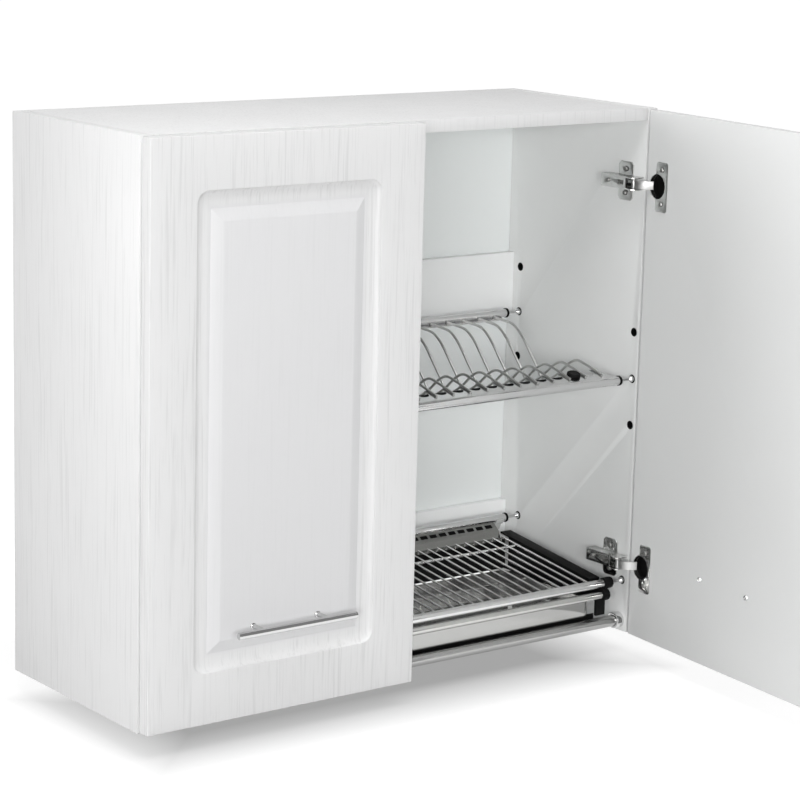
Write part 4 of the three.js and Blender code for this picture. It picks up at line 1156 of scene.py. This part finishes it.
def make_camera():
    """Camera of the photo, from its place, three turns and focal length in pixels."""
    cosine = math.cos(CAMERA_PITCH)
    forward = Vector((math.sin(CAMERA_YAW) * cosine, math.cos(CAMERA_YAW) * cosine, math.sin(CAMERA_PITCH)))
    level = Vector((math.cos(CAMERA_YAW), -math.sin(CAMERA_YAW), 0))
    upright = level.cross(forward)
    right = level * math.cos(CAMERA_ROLL) + upright * math.sin(CAMERA_ROLL)
    up = upright * math.cos(CAMERA_ROLL) - level * math.sin(CAMERA_ROLL)
    data = bpy.data.cameras.new("photo view")
    data.sensor_width = SENSOR
    data.lens = FOCAL_PIXELS / FRAME_PIXELS * SENSOR
    data.clip_end = 50
    camera = link_object("photo view", data)
    turn = Matrix((right, up, -forward)).transposed().to_4x4()
    camera.matrix_world = Matrix.Translation(CAMERA_PLACE) @ turn
    bpy.context.scene.camera = camera


def area_light(name, place, target, width, height, power):
    data = bpy.data.lights.new(name, "AREA")
    data.shape = "RECTANGLE"
    data.size = width
    data.size_y = height
    data.energy = power
    direction = Vector(target) - Vector(place)
    turn = direction.to_track_quat("-Z", "Y").to_matrix().to_4x4()
    link_object(name, data).matrix_world = Matrix.Translation(place) @ turn


def cleared(tree):
    tree.nodes.clear()
    return Net(tree)


def seen_rays(net):
    """Whether a ray is the camera's, and whether it shows something: that, one off gloss or through glass."""
    path = net.add("ShaderNodeLightPath").outputs
    seen = net.larger(path["Is Camera Ray"], path["Is Glossy Ray"])
    return path["Is Camera Ray"], net.larger(seen, path["Is Transmission Ray"])


def make_world():
    """Even pale light, white where it is seen; metal shows a white backdrop and a dimmer room in front."""
    world = bpy.data.worlds.new("studio")
    bpy.context.scene.world = world
    world.use_nodes = True
    net = cleared(world.node_tree)
    camera_ray, seen = seen_rays(net)
    _, y, z = net.parts(net.add("ShaderNodeTexCoord").outputs["Generated"])
    behind, low = net.ramp(y, -0.25, 0.1), net.ramp(z, 0.75, 0.45)
    backdrop = net.between(net.times(behind, low), ROOM_SHADE, 1.0)
    light = net.out("ShaderNodeBackground", {"Color": WHITE, "Strength": WORLD_LEVEL})
    white = net.out("ShaderNodeBackground", {"Color": WHITE, "Strength": net.larger(backdrop, camera_ray)})
    net.add("ShaderNodeOutputWorld", {0: net.out("ShaderNodeMixShader", {0: seen, 1: light, 2: white})})


def make_floor():
    """Pale floor below the cabinet, white where no shadow falls; a painted shadow under the cabinet holds
    back its glow and darkens its colour.
    """
    material = bpy.data.materials.new("floor")
    material.use_nodes = True
    net = cleared(material.node_tree)
    camera_ray, seen = seen_rays(net)
    place = net.add("ShaderNodeTexCoord").outputs["Object"]
    x, y, _ = net.parts(place)
    across = net.math("MINIMUM", net.plus(x, SHADOW_LEFT), net.minus(SHADOW_RIGHT, x))
    along = net.math("MINIMUM", net.plus(y, SHADOW_FRONT), net.minus(0.0, y))
    under = net.math("MINIMUM", across, along)
    # Painted shadow: glow and colour held back in a soft patch under the cabinet.
    shadow = net.between(net.ramp(under, SHADOW_SOFT, 0.0), SHADOW_LEVEL, 1.0)
    distance = net.add("ShaderNodeVectorMath", {0: place}, operation="LENGTH").outputs["Value"]
    level = net.between(net.ramp(distance, 0.3, 2.6), FLOOR_GLOW_NEAR, FLOOR_GLOW_FAR)
    level = net.times(net.larger(level, net.ramp(y, 0.02, 0.25)), shadow)
    pale = net.mix(camera_ray, (FLOOR_COLOUR,) * 3, (FLOOR_COLOUR_SEEN,) * 3)
    matt = net.out("ShaderNodeBsdfDiffuse", {"Color": net.mix(shadow, (0.0, 0.0, 0.0), pale)})
    glow = net.out("ShaderNodeEmission", {"Color": WHITE, "Strength": net.times(seen, level)})
    net.add("ShaderNodeOutputMaterial", {0: net.out("ShaderNodeAddShader", {0: matt, 1: glow})})
    mesh = bpy.data.meshes.new("floor")
    floor_z = -ORIGIN_HEIGHT * METRE - FLOOR_GAP
    corners = [(-1, -1), (1, -1), (1, 1), (-1, 1)]
    mesh.from_pydata([(a * FLOOR_HALF, b * FLOOR_HALF, floor_z) for a, b in corners], [], [(0, 1, 2, 3)])
    mesh.materials.append(material)
    floor = link_object("floor", mesh)


make_camera()
make_world()
make_floor()
for lamp_sizes in LAMPS:
    area_light(*lamp_sizes)

bpy.context.scene.view_settings.view_transform = "Standard"
